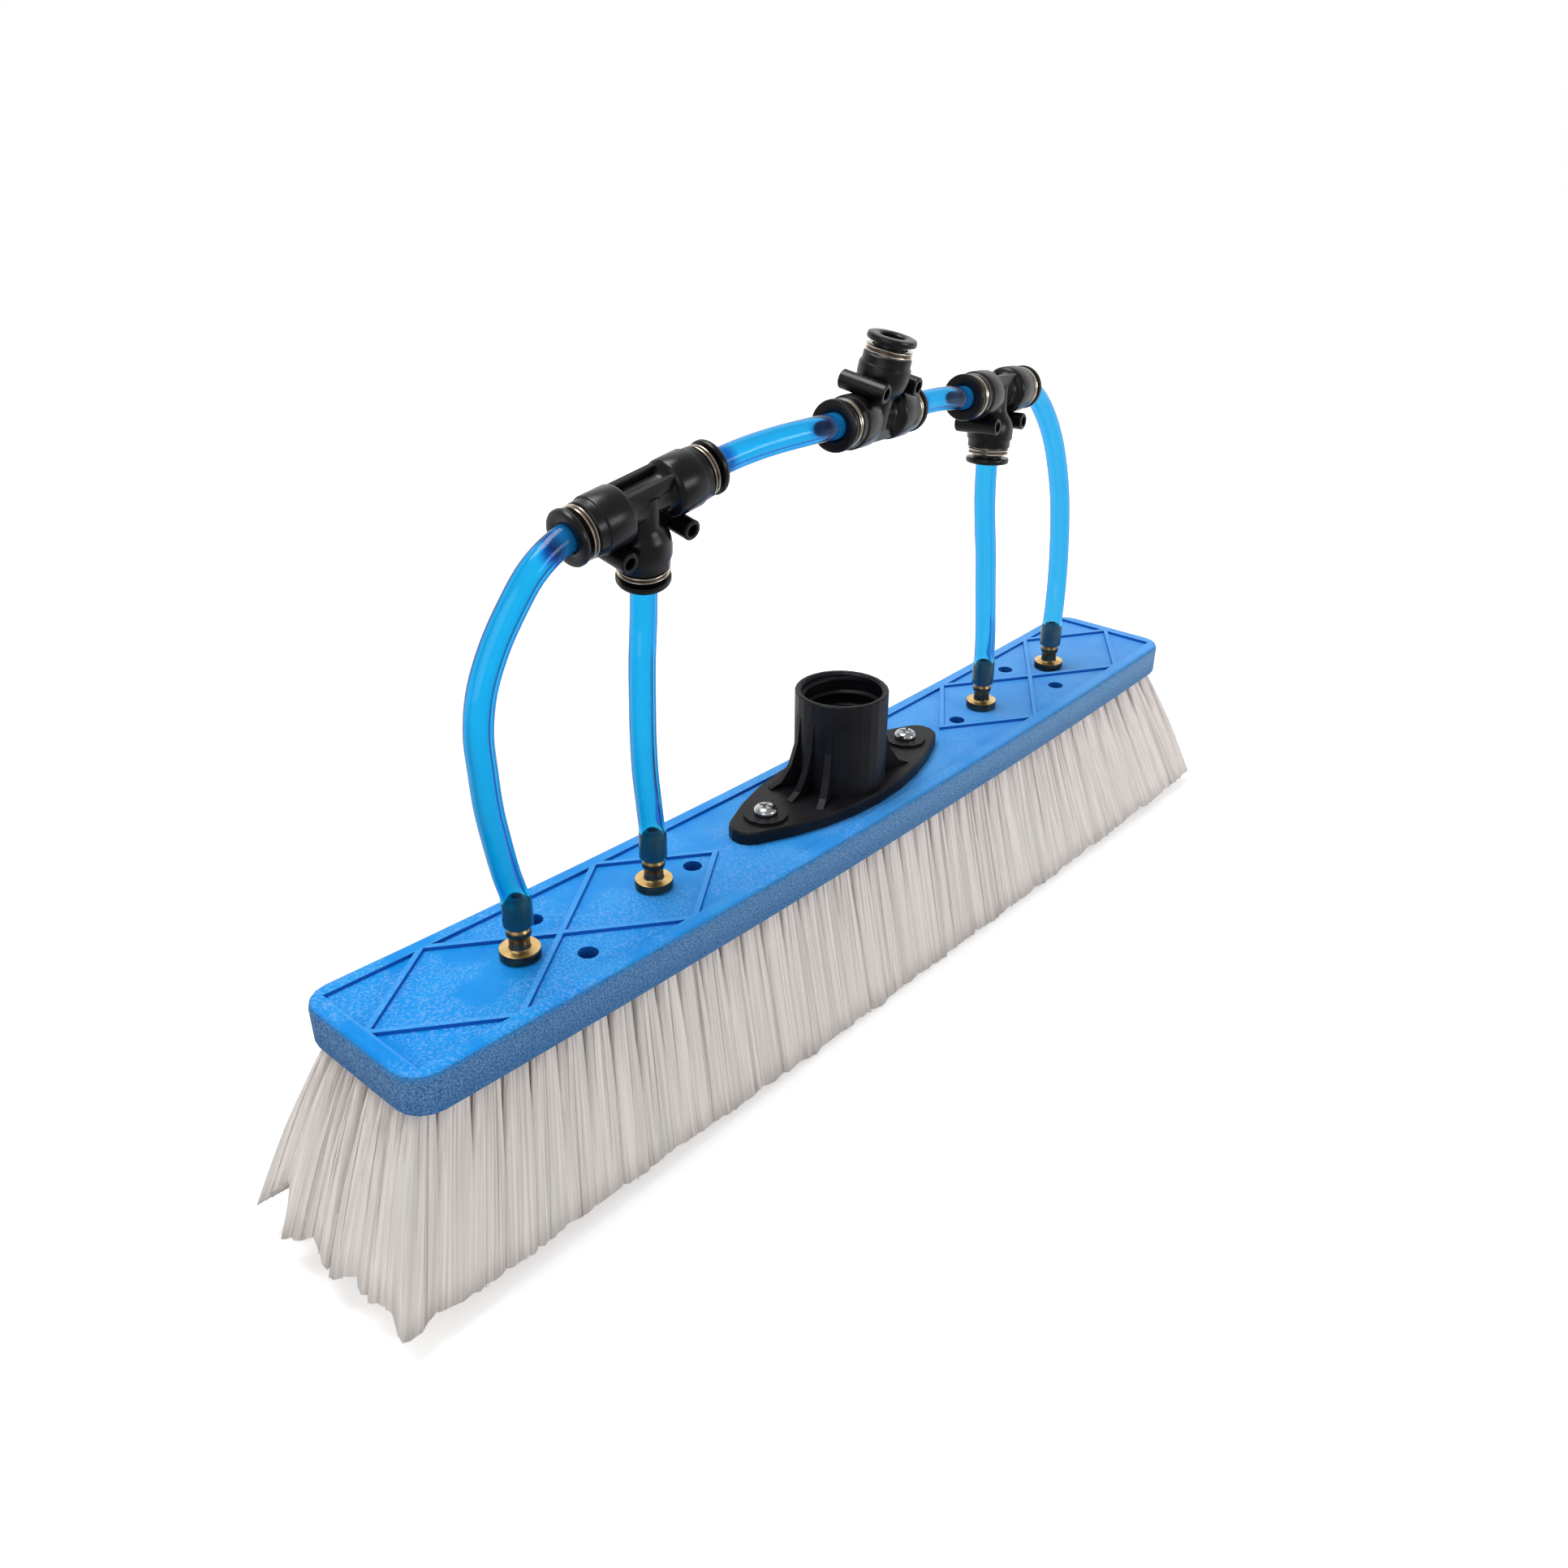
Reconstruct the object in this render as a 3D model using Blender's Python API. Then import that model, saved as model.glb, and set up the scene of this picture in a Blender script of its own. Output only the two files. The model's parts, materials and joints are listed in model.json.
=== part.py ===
"""Water-fed brush for solar panels, in metres, +Z up, standing on its bristle tips.

The blue back is cambered, with a diamond lattice on top. Four brass jets are screwed through it,
and a hoop of hose and three push-fit tees feeds them. A flanged socket in the middle takes the pole.
"""

import math

import bmesh
import bpy
from mathutils import Matrix, Vector

# Clearances and cuts
SEAT_GAP = 0.0003
CUT_OVERRUN = 0.002

# Brush back
BLOCK_LENGTH = 0.397
BLOCK_WIDTH = 0.054
BLOCK_DEPTH = 0.0125
BLOCK_CORNER = 0.009
BLOCK_EDGE = 0.0016
CAMBER = 0.004
RIM_WIDTH = 0.0042
RELIEF_DEPTH = 0.0012
RIB_WIDTH = 0.0017
LATTICE_FLANGE_GAP = 0.0095
LATTICE_END_GAP = 0.0005
BACKING_DEPTH = 0.002
BACKING_MARGIN = 0.0035

# Bristles
TRIM_LENGTH = 0.0625
SECTION_COUNT = 6
SECTION_COLUMNS = 7
ROWS_PER_SIDE = 4
WATER_CHANNEL = 0.005
TUFT_MARGIN = 0.0014
TUFT_TIP_GAP = 0.001
END_FLARE = 0.027
SIDE_FLARE = 0.0155
UNEVEN_TRIM = 0.0022

# Brass jets and the holes for them
INNER_JET_SHARE = 0.075
OUTER_JET_SHARE = 0.27
JET_HOLE_RADIUS = 0.00315
WATERWAY_RADIUS = 0.0022
JET_FLANGE_RADIUS = 0.006
JET_FLANGE_DEPTH = 0.003
JET_SHANK_LENGTH = 0.0078
JET_SHANK_CLEARANCE = 0.0004
JET_NECK_RADIUS = 0.003
JET_BEAD_RADIUS = 0.0034
JET_BEAD_HEIGHT = 0.0052
JET_BEAD_HALF = 0.001
JET_BARB_HEIGHT = 0.0085
JET_BARB_RADIUS = 0.0026
JET_NOSE_RADIUS = 0.0018
JET_NOSE_HEIGHT = 0.0175
JET_BORE_RADIUS = 0.0012
SPARE_HOLE_OUTSET = 0.0005
SPARE_HOLE_Y = 0.0125
CENTRE_SPARE_HOLE_SHARE = 0.336

# Pole socket
SOCKET_HEIGHT = 0.0381
SOCKET_RADIUS = 0.0164
SOCKET_BORE_RADIUS = 0.0142
SOCKET_MOUTH_CHAMFER = 0.0008
FLANGE_HALF_LENGTH = 0.0545
FLANGE_HALF_WIDTH = 0.019
FLANGE_TIP_RADIUS = 0.0072
FLANGE_DEPTH = 0.0042
FLANGE_EDGE = 0.0006
PAD_RADIUS = 0.0078
PAD_DEPTH = 0.0009
GUSSET_COUNT = 3
GUSSET_FAN_DEGREES = 25.0
GUSSET_WIDTH = 0.0024
GUSSET_FOOT = 0.0275
GUSSET_TOP = 0.026
GUSSET_LIP = 0.0003

# Socket screws
SCREW_INSET = 0.015
SCREW_HEAD_RADIUS = 0.0041
SCREW_HEAD_HEIGHT = 0.0026
SCREW_SHANK_RADIUS = 0.0019
SCREW_SHANK_LENGTH = 0.0118
CROSS_LENGTH = 0.0046
CROSS_WIDTH = 0.001
CROSS_DEPTH = 0.0014

# Hose
HOSE_RADIUS = 0.004
HOSE_WALL = 0.0015
HOSE_STEP = 0.0115
HOSE_RUN_OUT = 0.001
FLARE_LENGTH = 0.006
BARB_GRIP_HEIGHT = 0.0147
# Lean of each leg towards +X where it leaves its jet
OUTER_LEFT_LEAN_DEGREES = -8.0
INNER_LEFT_LEAN_DEGREES = -4.0
INNER_RIGHT_LEAN_DEGREES = 0.0
OUTER_RIGHT_LEAN_DEGREES = 4.0

# Push-fit ports, measured inwards from the face of the release collar
COLLAR_RADIUS = 0.0079
COLLAR_FLANGE = 0.0021
COLLAR_ROUNDING = 0.0006
COLLAR_TRAVEL = 0.001
COLLAR_SLEEVE_WALL = 0.0009
COLLAR_LIP = 0.0006
COLLAR_LIP_LENGTH = 0.0008
BAND_RADIUS = 0.0076
BAND_WIDTH = 0.0021
BAND_SLEEVE_WALL = 0.0008
BAND_SLEEVE_LENGTH = 0.004
COLLET_THICKNESS = 0.0008
SEAL_CORD_RADIUS = 0.001
HOSE_GRIP = 0.004

# Tee bodies, about the crossing of their bores
RUN_REACH = 0.0263
STEM_REACH = 0.0252
BODY_RADIUS = 0.0083
BODY_NECK_RADIUS = 0.0075
BODY_NECK_LENGTH = 0.0028
WAIST_HALF_LENGTH = 0.0081
WAIST_RADIUS = 0.005
STEM_ROOT_RADIUS = 0.0052
STEM_SHOULDER_RADIUS = 0.0075
STEM_SHOULDER_START = 0.0066
STEM_SHOULDER_END = 0.0093
STEM_BELLY_START = 0.013
FLOW_BORE_RADIUS = 0.0027
STEM_FLOW_BORE_RADIUS = 0.0025
RAIL_HEIGHT = 0.0064
RAIL_SPREAD = 0.0096
RAIL_WIDTH = 0.002
BOSS_X = 0.0115
BOSS_Z = 0.0106
BOSS_RADIUS = 0.003
BOSS_HOLE_RADIUS = 0.0017
BOSS_LENGTH = 0.016
WEB_WIDTH = 0.0026

# Places of the tees: crossing of the bores, above the top of the ribs
LEFT_TEE_OUTSET = 0.0017
LEFT_TEE_Y = -0.0041
LEFT_TEE_RISE = 0.1232
LEFT_TEE_ROLL_DEGREES = 13.0
LEFT_TEE_PITCH_DEGREES = -10.4
LEFT_TEE_YAW_DEGREES = -1.6
CENTRE_TEE_X = 0.0059
CENTRE_TEE_Y = -0.004
CENTRE_TEE_RISE = 0.13
CENTRE_TEE_ROLL_DEGREES = 11.9
CENTRE_TEE_PITCH_DEGREES = 3.9
CENTRE_TEE_YAW_DEGREES = 11.5
RIGHT_TEE_INSET = 0.0028
RIGHT_TEE_Y = 0.0043
RIGHT_TEE_RISE = 0.1247
RIGHT_TEE_ROLL_DEGREES = -1.0
RIGHT_TEE_PITCH_DEGREES = 4.9
RIGHT_TEE_YAW_DEGREES = 8.4

# Bulge of each hose off the straight line between its fittings:
# share of the line's length along it, and share of the length out to the side
OUTER_LEFT_BULGE_SHARES = ((0.15, 0.123), (0.4, 0.196), (0.65, 0.147), (0.88, 0.058))
INNER_LEFT_BULGE_SHARES = ((0.33, 0.022), (0.67, 0.027))
TOP_LEFT_BULGE_SHARES = ((0.5, -0.027),)
TOP_RIGHT_BULGE_SHARES = ((0.5, -0.032),)
INNER_RIGHT_BULGE_SHARES = ((0.5, -0.005),)
OUTER_RIGHT_BULGE_SHARES = ((0.18, -0.125), (0.45, -0.154), (0.75, -0.097))

# Facets of round shapes
CORNER_STEPS = 4
HOLE_STEPS = 12
SOCKET_STEPS = 28
JET_STEPS = 12
SCREW_STEPS = 12
DOME_STEPS = 3
PORT_STEPS = 14
BODY_STEPS = 16
RING_STEPS = 12
SEAL_CORD_STEPS = 5
BOSS_STEPS = 8
GUSSET_STEPS = 4
FLANGE_STEPS = 8
TIP_STEPS = 5
HOSE_BEVEL_RESOLUTION = 3
ROUTE_SAMPLES = 40

# Heights worked out from the sizes above
HALF_LENGTH = BLOCK_LENGTH / 2
HALF_WIDTH = BLOCK_WIDTH / 2
BLOCK_BOTTOM = TRIM_LENGTH
BLOCK_TOP = BLOCK_BOTTOM + BLOCK_DEPTH
PANEL_TOP = BLOCK_TOP - RELIEF_DEPTH
BACKING_TOP = BLOCK_BOTTOM + BACKING_DEPTH
RECESS_TOP = BACKING_TOP + SEAT_GAP
PANEL_HALF_WIDTH = HALF_WIDTH - RIM_WIDTH
LATTICE_START = FLANGE_HALF_LENGTH + LATTICE_FLANGE_GAP
DIAMOND_LENGTH = (HALF_LENGTH - RIM_WIDTH - LATTICE_END_GAP - LATTICE_START) / 2
INNER_DIAMOND_X = LATTICE_START + DIAMOND_LENGTH / 2
OUTER_DIAMOND_X = INNER_DIAMOND_X + DIAMOND_LENGTH
INNER_JET_X = INNER_DIAMOND_X - INNER_JET_SHARE * DIAMOND_LENGTH
OUTER_JET_X = OUTER_DIAMOND_X - OUTER_JET_SHARE * DIAMOND_LENGTH
SPARE_HOLE_X = INNER_DIAMOND_X + DIAMOND_LENGTH / 2 + SPARE_HOLE_OUTSET
CENTRE_SPARE_HOLE_X = INNER_DIAMOND_X - CENTRE_SPARE_HOLE_SHARE * DIAMOND_LENGTH
LEFT_TEE_X = -INNER_JET_X - LEFT_TEE_OUTSET
RIGHT_TEE_X = INNER_JET_X - RIGHT_TEE_INSET
FLANGE_BOTTOM = PANEL_TOP + CAMBER * (FLANGE_HALF_LENGTH / HALF_LENGTH) ** 2 + SEAT_GAP
FLANGE_TOP = FLANGE_BOTTOM + FLANGE_DEPTH
SCREW_X = FLANGE_HALF_LENGTH - SCREW_INSET
PAD_TOP = FLANGE_TOP + PAD_DEPTH
SOCKET_TOP = FLANGE_BOTTOM + SOCKET_HEIGHT

# Port sizes worked out from the sizes above
HOSE_BORE_RADIUS = HOSE_RADIUS - HOSE_WALL
SLIDE_RADIUS = HOSE_RADIUS + SEAT_GAP
SLEEVE_RADIUS = SLIDE_RADIUS + COLLAR_SLEEVE_WALL
BAND_BORE_RADIUS = SLEEVE_RADIUS + SEAT_GAP
BAND_SLEEVE_RADIUS = BAND_BORE_RADIUS + BAND_SLEEVE_WALL
PORT_BORE_RADIUS = BAND_SLEEVE_RADIUS + SEAT_GAP
BAND_FACE = COLLAR_FLANGE + COLLAR_TRAVEL + SEAT_GAP
PORT_MOUTH = BAND_FACE + BAND_WIDTH + SEAT_GAP
BAND_SLEEVE_END = BAND_FACE + BAND_WIDTH + BAND_SLEEVE_LENGTH
LIP_START = BAND_SLEEVE_END + SEAT_GAP
COLLAR_END = LIP_START + COLLAR_LIP_LENGTH
COLLET_START = COLLAR_END + COLLAR_TRAVEL + SEAT_GAP
COLLET_END = COLLET_START + COLLET_THICKNESS
SEAL_CENTRE = COLLET_END + SEAT_GAP + SEAL_CORD_RADIUS
PORT_BORE_END = SEAL_CENTRE + SEAL_CORD_RADIUS + SEAT_GAP
HOSE_STOP = PORT_BORE_END + HOSE_GRIP
HOSE_END = HOSE_STOP - SEAT_GAP
BARB_CLEARANCE = JET_BARB_RADIUS + SEAT_GAP
FLARE_SCALE = (BARB_CLEARANCE + HOSE_WALL) / HOSE_RADIUS


# Scene and material helpers

def clear_scene():
    for old in list(bpy.data.objects):
        bpy.data.objects.remove(old, do_unlink=True)


def make_material(name, colour, roughness, metallic=0.0, alpha=1.0):
    material = bpy.data.materials.new(name)
    material.use_nodes = True
    shader = material.node_tree.nodes["Principled BSDF"]
    shader.inputs["Base Color"].default_value = (*colour, 1.0)
    shader.inputs["Roughness"].default_value = roughness
    shader.inputs["Metallic"].default_value = metallic
    shader.inputs["Alpha"].default_value = alpha
    material.diffuse_color = (*colour, alpha)
    return material


def add_empty(name, matrix, parent=None):
    empty = bpy.data.objects.new(name, None)
    bpy.context.scene.collection.objects.link(empty)
    empty.parent = parent
    empty.location = matrix.to_translation()
    empty.rotation_euler = matrix.to_euler()
    return empty


def add_object(name, data, material, parent=None, smooth_degrees=35.0):
    thing = bpy.data.objects.new(name, data)
    bpy.context.scene.collection.objects.link(thing)
    thing.parent = parent
    if not data.materials:
        data.materials.append(material)
    if thing.type == "MESH":
        data.shade_smooth()
        data.set_sharp_from_angle(angle=math.radians(smooth_degrees))
    return thing


def add_cutter(name, data):
    cutter = bpy.data.objects.new(name, data)
    bpy.context.scene.collection.objects.link(cutter)
    cutter.hide_render = True
    cutter.display_type = "WIRE"
    return cutter


def mesh_from(name, bm):
    bmesh.ops.recalc_face_normals(bm, faces=bm.faces)
    mesh = bpy.data.meshes.new(name)
    bm.to_mesh(mesh)
    bm.free()
    return mesh


def combine(target, other, operation):
    modifier = target.modifiers.new(f"{operation.lower()}_{other.name}", "BOOLEAN")
    modifier.object = other
    modifier.operation = operation
    modifier.solver = "EXACT"


def finished_mesh(name, source, helpers):
    """The mesh of source with its modifiers applied. Source and its helpers are removed."""
    bpy.context.view_layer.update()
    graph = bpy.context.evaluated_depsgraph_get()
    mesh = bpy.data.meshes.new_from_object(source.evaluated_get(graph), depsgraph=graph)
    mesh.name = name
    for thing in (source, *helpers):
        bpy.data.objects.remove(thing, do_unlink=True)
    return mesh


# Shape helpers

def turned_into(bm, profile, steps, matrix=Matrix.Identity(4)):
    """Turns (radius, height) points about Z: an open profile between points on the axis, or a ring's loop."""
    is_ring = all(radius > 0 for radius, _ in profile)
    rings = []
    for radius, height in profile:
        if radius == 0:
            rings.append([bm.verts.new(matrix @ Vector((0, 0, height)))])
            continue
        ring = []
        for step in range(steps):
            angle = math.tau * step / steps
            point = Vector((radius * math.cos(angle), radius * math.sin(angle), height))
            ring.append(bm.verts.new(matrix @ point))
        rings.append(ring)
    pairs = list(zip(rings, rings[1:]))
    if is_ring:
        pairs.append((rings[-1], rings[0]))
    for first, second in pairs:
        for step in range(steps):
            after = (step + 1) % steps
            corners = [first[step % len(first)], first[after % len(first)]]
            corners += [second[after % len(second)], second[step % len(second)]]
            unique = list(dict.fromkeys(corners))
            if len(unique) > 2:
                bm.faces.new(unique)


def turned_mesh(name, profile, steps, matrix=Matrix.Identity(4)):
    bm = bmesh.new()
    turned_into(bm, profile, steps, matrix)
    return mesh_from(name, bm)


def rod_profile(radius, low, high):
    return [(0, low), (radius, low), (radius, high), (0, high)]


def prism_into(bm, outline, low, high):
    """Extrudes an outline of (x, y) points from low to high along Z."""
    bottom = [bm.verts.new((x, y, low)) for x, y in outline]
    face = bm.faces.new(bottom)
    raised = bmesh.ops.extrude_face_region(bm, geom=[face])["geom"]
    top = [item for item in raised if isinstance(item, bmesh.types.BMVert)]
    bmesh.ops.translate(bm, verts=top, vec=(0, 0, high - low))


def prism_mesh(name, outline, low, high):
    bm = bmesh.new()
    prism_into(bm, outline, low, high)
    return mesh_from(name, bm)


def box_outline(half_x, half_y, centre_x=0.0, centre_y=0.0):
    corners = ((-half_x, -half_y), (half_x, -half_y), (half_x, half_y), (-half_x, half_y))
    return [(centre_x + x, centre_y + y) for x, y in corners]


def arc_points(centre, radius, start, end, steps):
    points = []
    for step in range(steps + 1):
        angle = start + (end - start) * step / steps
        points.append((centre[0] + radius * math.cos(angle), centre[1] + radius * math.sin(angle)))
    return points


def rounded_outline(half_x, half_y, corner, steps):
    quarter = math.pi / 2
    points = []
    for turn, (sign_x, sign_y) in enumerate(((1, 1), (-1, 1), (-1, -1), (1, -1))):
        centre = (sign_x * (half_x - corner), sign_y * (half_y - corner))
        points += arc_points(centre, corner, turn * quarter, (turn + 1) * quarter, steps)
    return points


def inset_outline(points, distance):
    """Moves each side of a counter-clockwise outline inwards."""
    moved = []
    count = len(points)
    for index in range(count):
        before = Vector(points[index - 1])
        here = Vector(points[index])
        after = Vector(points[(index + 1) % count])
        first = (here - before).normalized()
        second = (after - here).normalized()
        first_normal = Vector((-first.y, first.x))
        second_normal = Vector((-second.y, second.x))
        bisector = (first_normal + second_normal).normalized()
        corner = here + bisector * (distance / bisector.dot(first_normal))
        moved.append((corner.x, corner.y))
    return moved


def camber_at(x):
    return CAMBER * (x / HALF_LENGTH) ** 2


def camber_slope(x):
    return 2 * CAMBER * x / HALF_LENGTH**2


def camber_mesh(mesh):
    """Cuts a mesh across its length and lifts each point by the camber there."""
    bm = bmesh.new()
    bm.from_mesh(mesh)
    for index in range(1, 2 * SECTION_COUNT):
        plane_x = HALF_LENGTH * (index / SECTION_COUNT - 1)
        geom = bm.verts[:] + bm.edges[:] + bm.faces[:]
        bmesh.ops.bisect_plane(bm, geom=geom, plane_co=(plane_x, 0, 0), plane_no=(1, 0, 0))
    for vert in bm.verts:
        vert.co.z += camber_at(vert.co.x)
    bm.to_mesh(mesh)
    bm.free()


def bridge_chains(bm, first, second):
    """Fills between two chains of points that run the same way."""
    index = [0, 0]
    chains = (first, second)
    ends = [len(chain) - 1 for chain in chains]
    while index != ends:
        nearer = (index[0] + 1) * ends[1] <= (index[1] + 1) * ends[0]
        moving = 0 if index[1] == ends[1] or (index[0] < ends[0] and nearer) else 1
        corners = [first[index[0]], second[index[1]]]
        index[moving] += 1
        bm.faces.new([*corners, chains[moving][index[moving]]])


# Brush back

def lattice_pockets():
    """Outlines of the sunken fields between the rim and the diamond ribs."""
    half = DIAMOND_LENGTH / 2
    width = PANEL_HALF_WIDTH
    inner = INNER_DIAMOND_X
    outer = OUTER_DIAMOND_X
    fields = [[
        (-inner, -width), (inner, -width), (inner - half, 0),
        (inner, width), (-inner, width), (half - inner, 0),
    ]]
    for side in (-1, 1):
        fields.append([(inner - half, 0), (inner, -width), (inner + half, 0), (inner, width)])
        fields.append([(outer - half, 0), (outer, -width), (outer + half, 0), (outer, width)])
        fields.append([(inner + half, 0), (outer, width), (inner, width)])
        fields.append([(inner, -width), (outer, -width), (inner + half, 0)])
        fields.append([(outer + half, 0), (outer + half, width), (outer, width)])
        fields.append([(outer, -width), (outer + half, -width), (outer + half, 0)])
        if side == -1:
            fields[1:] = [[(-x, y) for x, y in reversed(field)] for field in fields[1:]]
    return [inset_outline(field, RIB_WIDTH / 2) for field in fields]


def jet_places():
    return {
        "outer_left": -OUTER_JET_X,
        "inner_left": -INNER_JET_X,
        "inner_right": INNER_JET_X,
        "outer_right": OUTER_JET_X,
    }


def spare_hole_places():
    places = [(side * CENTRE_SPARE_HOLE_X, 0) for side in (-1, 1)]
    places += [(side * SPARE_HOLE_X, row * SPARE_HOLE_Y) for side in (-1, 1) for row in (-1, 1)]
    return places


def make_block(material):
    bm = bmesh.new()
    outline = rounded_outline(HALF_LENGTH, HALF_WIDTH, BLOCK_CORNER, CORNER_STEPS)
    prism_into(bm, outline, BLOCK_BOTTOM, BLOCK_TOP)
    middle = (BLOCK_BOTTOM + BLOCK_TOP) / 2
    rim = [edge for edge in bm.edges if all(vert.co.z > middle for vert in edge.verts)]
    bmesh.ops.bevel(bm, geom=rim, offset=BLOCK_EDGE, segments=2, profile=0.5, affect="EDGES")
    blank = add_cutter("block_blank", mesh_from("block_blank", bm))

    pockets = bmesh.new()
    for field in lattice_pockets():
        prism_into(pockets, field, PANEL_TOP, BLOCK_TOP + CUT_OVERRUN)
    holes = bmesh.new()
    below = BLOCK_BOTTOM - CUT_OVERRUN
    above = BLOCK_TOP + CUT_OVERRUN
    for x, y in [(x, 0) for x in jet_places().values()] + spare_hole_places():
        hole = rod_profile(JET_HOLE_RADIUS, below, above)
        turned_into(holes, hole, HOLE_STEPS, Matrix.Translation((x, y, 0)))
    for side in (-1, 1):
        pilot = rod_profile(SCREW_SHANK_RADIUS + SEAT_GAP, below, above)
        turned_into(holes, pilot, BOSS_STEPS, Matrix.Translation((side * SCREW_X, 0, 0)))
    recess = box_outline(HALF_LENGTH - BACKING_MARGIN, HALF_WIDTH - BACKING_MARGIN)
    cutters = [
        add_cutter("pocket_cutter", mesh_from("pocket_cutter", pockets)),
        add_cutter("hole_cutter", mesh_from("hole_cutter", holes)),
        add_cutter("recess_cutter", prism_mesh("recess_cutter", recess, below, RECESS_TOP)),
    ]
    for cutter in cutters:
        combine(blank, cutter, "DIFFERENCE")
    mesh = finished_mesh("brush_block", blank, cutters)
    camber_mesh(mesh)
    mesh.materials.clear()
    return add_object("brush_block", mesh, material)


# Bristles

def backing_half_size():
    margin = BACKING_MARGIN + SEAT_GAP
    return HALF_LENGTH - margin, HALF_WIDTH - margin


def tuft_spread(x, y):
    """How far the tip of a strand rooted at x, y leans: out at the ends and sides, in over the channel."""
    half_x, half_y = backing_half_size()
    channel = WATER_CHANNEL / 2
    tip_y = (abs(y) - channel) * (half_y + SIDE_FLARE) / (half_y - channel)
    return x + END_FLARE * x * abs(x) / half_x**2, math.copysign(tip_y, y)


def tuft_shortfall(column, row):
    """How far a tuft stops short of the ground: every other one reaches it."""
    if (column + row) % 2 == 0:
        return 0.0
    return UNEVEN_TRIM * (0.5 + 0.5 * math.sin(column + 2 * row))


def add_tuft(bm, corners, shortfall):
    """Runs one strand from its four root corners to a flat tip, drawn in from its neighbours."""
    spread = [Vector((*tuft_spread(root.co.x, root.co.y), shortfall)) for root in corners]
    middle = sum(spread, Vector()) / len(spread)
    tips = []
    for corner in spread:
        inwards = Vector([math.copysign(1, axis) for axis in (middle - corner).xy] + [0])
        tips.append(bm.verts.new(corner + inwards * (TUFT_TIP_GAP / 2)))
    for side in range(len(corners)):
        after = (side + 1) % len(corners)
        bm.faces.new((corners[side], corners[after], tips[after], tips[side]))
    bm.faces.new(tips)


def bristle_section_mesh(name, index):
    """One slice of the tuft backing with its strands. A channel down the middle lets the water through."""
    half_x, half_y = backing_half_size()
    pitch = 2 * half_x / SECTION_COUNT
    left = pitch * index - half_x + SEAT_GAP / 2
    cell_x = (pitch - SEAT_GAP) / SECTION_COLUMNS
    cell_y = (half_y - TUFT_MARGIN - WATER_CHANNEL / 2) / ROWS_PER_SIDE
    xs = [left + cell_x * column for column in range(SECTION_COLUMNS + 1)]
    side_ys = [WATER_CHANNEL / 2 + cell_y * row for row in range(ROWS_PER_SIDE + 1)]
    ys = [-y for y in reversed(side_ys)] + side_ys
    bm = bmesh.new()

    def point(x, y, height):
        return bm.verts.new((x, y, height + camber_at(x)))

    roots = [[point(x, y, BLOCK_BOTTOM) for y in ys] for x in xs]
    for column in range(SECTION_COLUMNS):
        for row in range(len(ys) - 1):
            if row == ROWS_PER_SIDE:
                continue
            here = roots[column]
            there = roots[column + 1]
            shortfall = tuft_shortfall(index * SECTION_COLUMNS + column, row)
            add_tuft(bm, (here[row], there[row], there[row + 1], here[row + 1]), shortfall)
    rows = [list(row) for row in zip(*roots)]
    bridge_chains(bm, rows[ROWS_PER_SIDE], rows[ROWS_PER_SIDE + 1])

    stations = (xs[0], (xs[0] + xs[-1]) / 2, xs[-1])
    bottoms = []
    tops = []
    for side, near in ((-1, rows[0]), (1, rows[-1])):
        bottom = [point(x, side * half_y, BLOCK_BOTTOM) for x in (xs[0], xs[-1])]
        top = [point(x, side * half_y, BACKING_TOP) for x in stations]
        bridge_chains(bm, bottom, near)
        bridge_chains(bm, bottom, top)
        bottoms.append(bottom)
        tops.append(top)
    bridge_chains(bm, *tops)
    for end in (0, -1):
        bridge_chains(bm, [bottoms[0][end], *roots[end], bottoms[1][end]], [tops[0][end], tops[1][end]])
    return mesh_from(name, bm)


def make_bristle_section(index, material):
    name = f"bristle_section_{index + 1}"
    mesh = bristle_section_mesh(name, index)
    section = add_cutter(f"{name}_blank", mesh)
    low = min(vert.co.x for vert in mesh.vertices if vert.co.z > BLOCK_BOTTOM)
    high = max(vert.co.x for vert in mesh.vertices if vert.co.z > BLOCK_BOTTOM)
    cutters = []
    for jet, x in jet_places().items():
        if not low < x < high:
            continue
        above = BACKING_TOP + CAMBER + CUT_OVERRUN
        waterway = rod_profile(WATERWAY_RADIUS, BLOCK_BOTTOM - CUT_OVERRUN, above)
        hole = turned_mesh(f"{jet}_waterway", waterway, BOSS_STEPS, Matrix.Translation((x, 0, 0)))
        cutters.append(add_cutter(f"{jet}_waterway", hole))
        combine(section, cutters[-1], "DIFFERENCE")
    return add_object(name, finished_mesh(name, section, cutters), material)


# Pole socket and its screws

def almond_outline():
    """Two shallow arcs that meet in rounded tips."""
    length = FLANGE_HALF_LENGTH
    width = FLANGE_HALF_WIDTH
    tip = FLANGE_TIP_RADIUS
    reach = length - tip
    side_radius = (reach**2 + width**2 - tip**2) / (2 * (width - tip))
    drop = side_radius - width
    lean = math.atan2(drop, reach)
    outline = []
    for turn in (0, 1):
        half_turn = math.pi * turn
        sign = 1 - 2 * turn
        tip_centre = (sign * reach, 0)
        outline += arc_points(tip_centre, tip, half_turn - lean, half_turn + lean, TIP_STEPS)
        side_centre = (0, -sign * drop)
        start = half_turn + lean
        end = half_turn + math.pi - lean
        side = arc_points(side_centre, side_radius, start, end, FLANGE_STEPS)
        outline += side[1:-1]
    return outline


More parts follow.
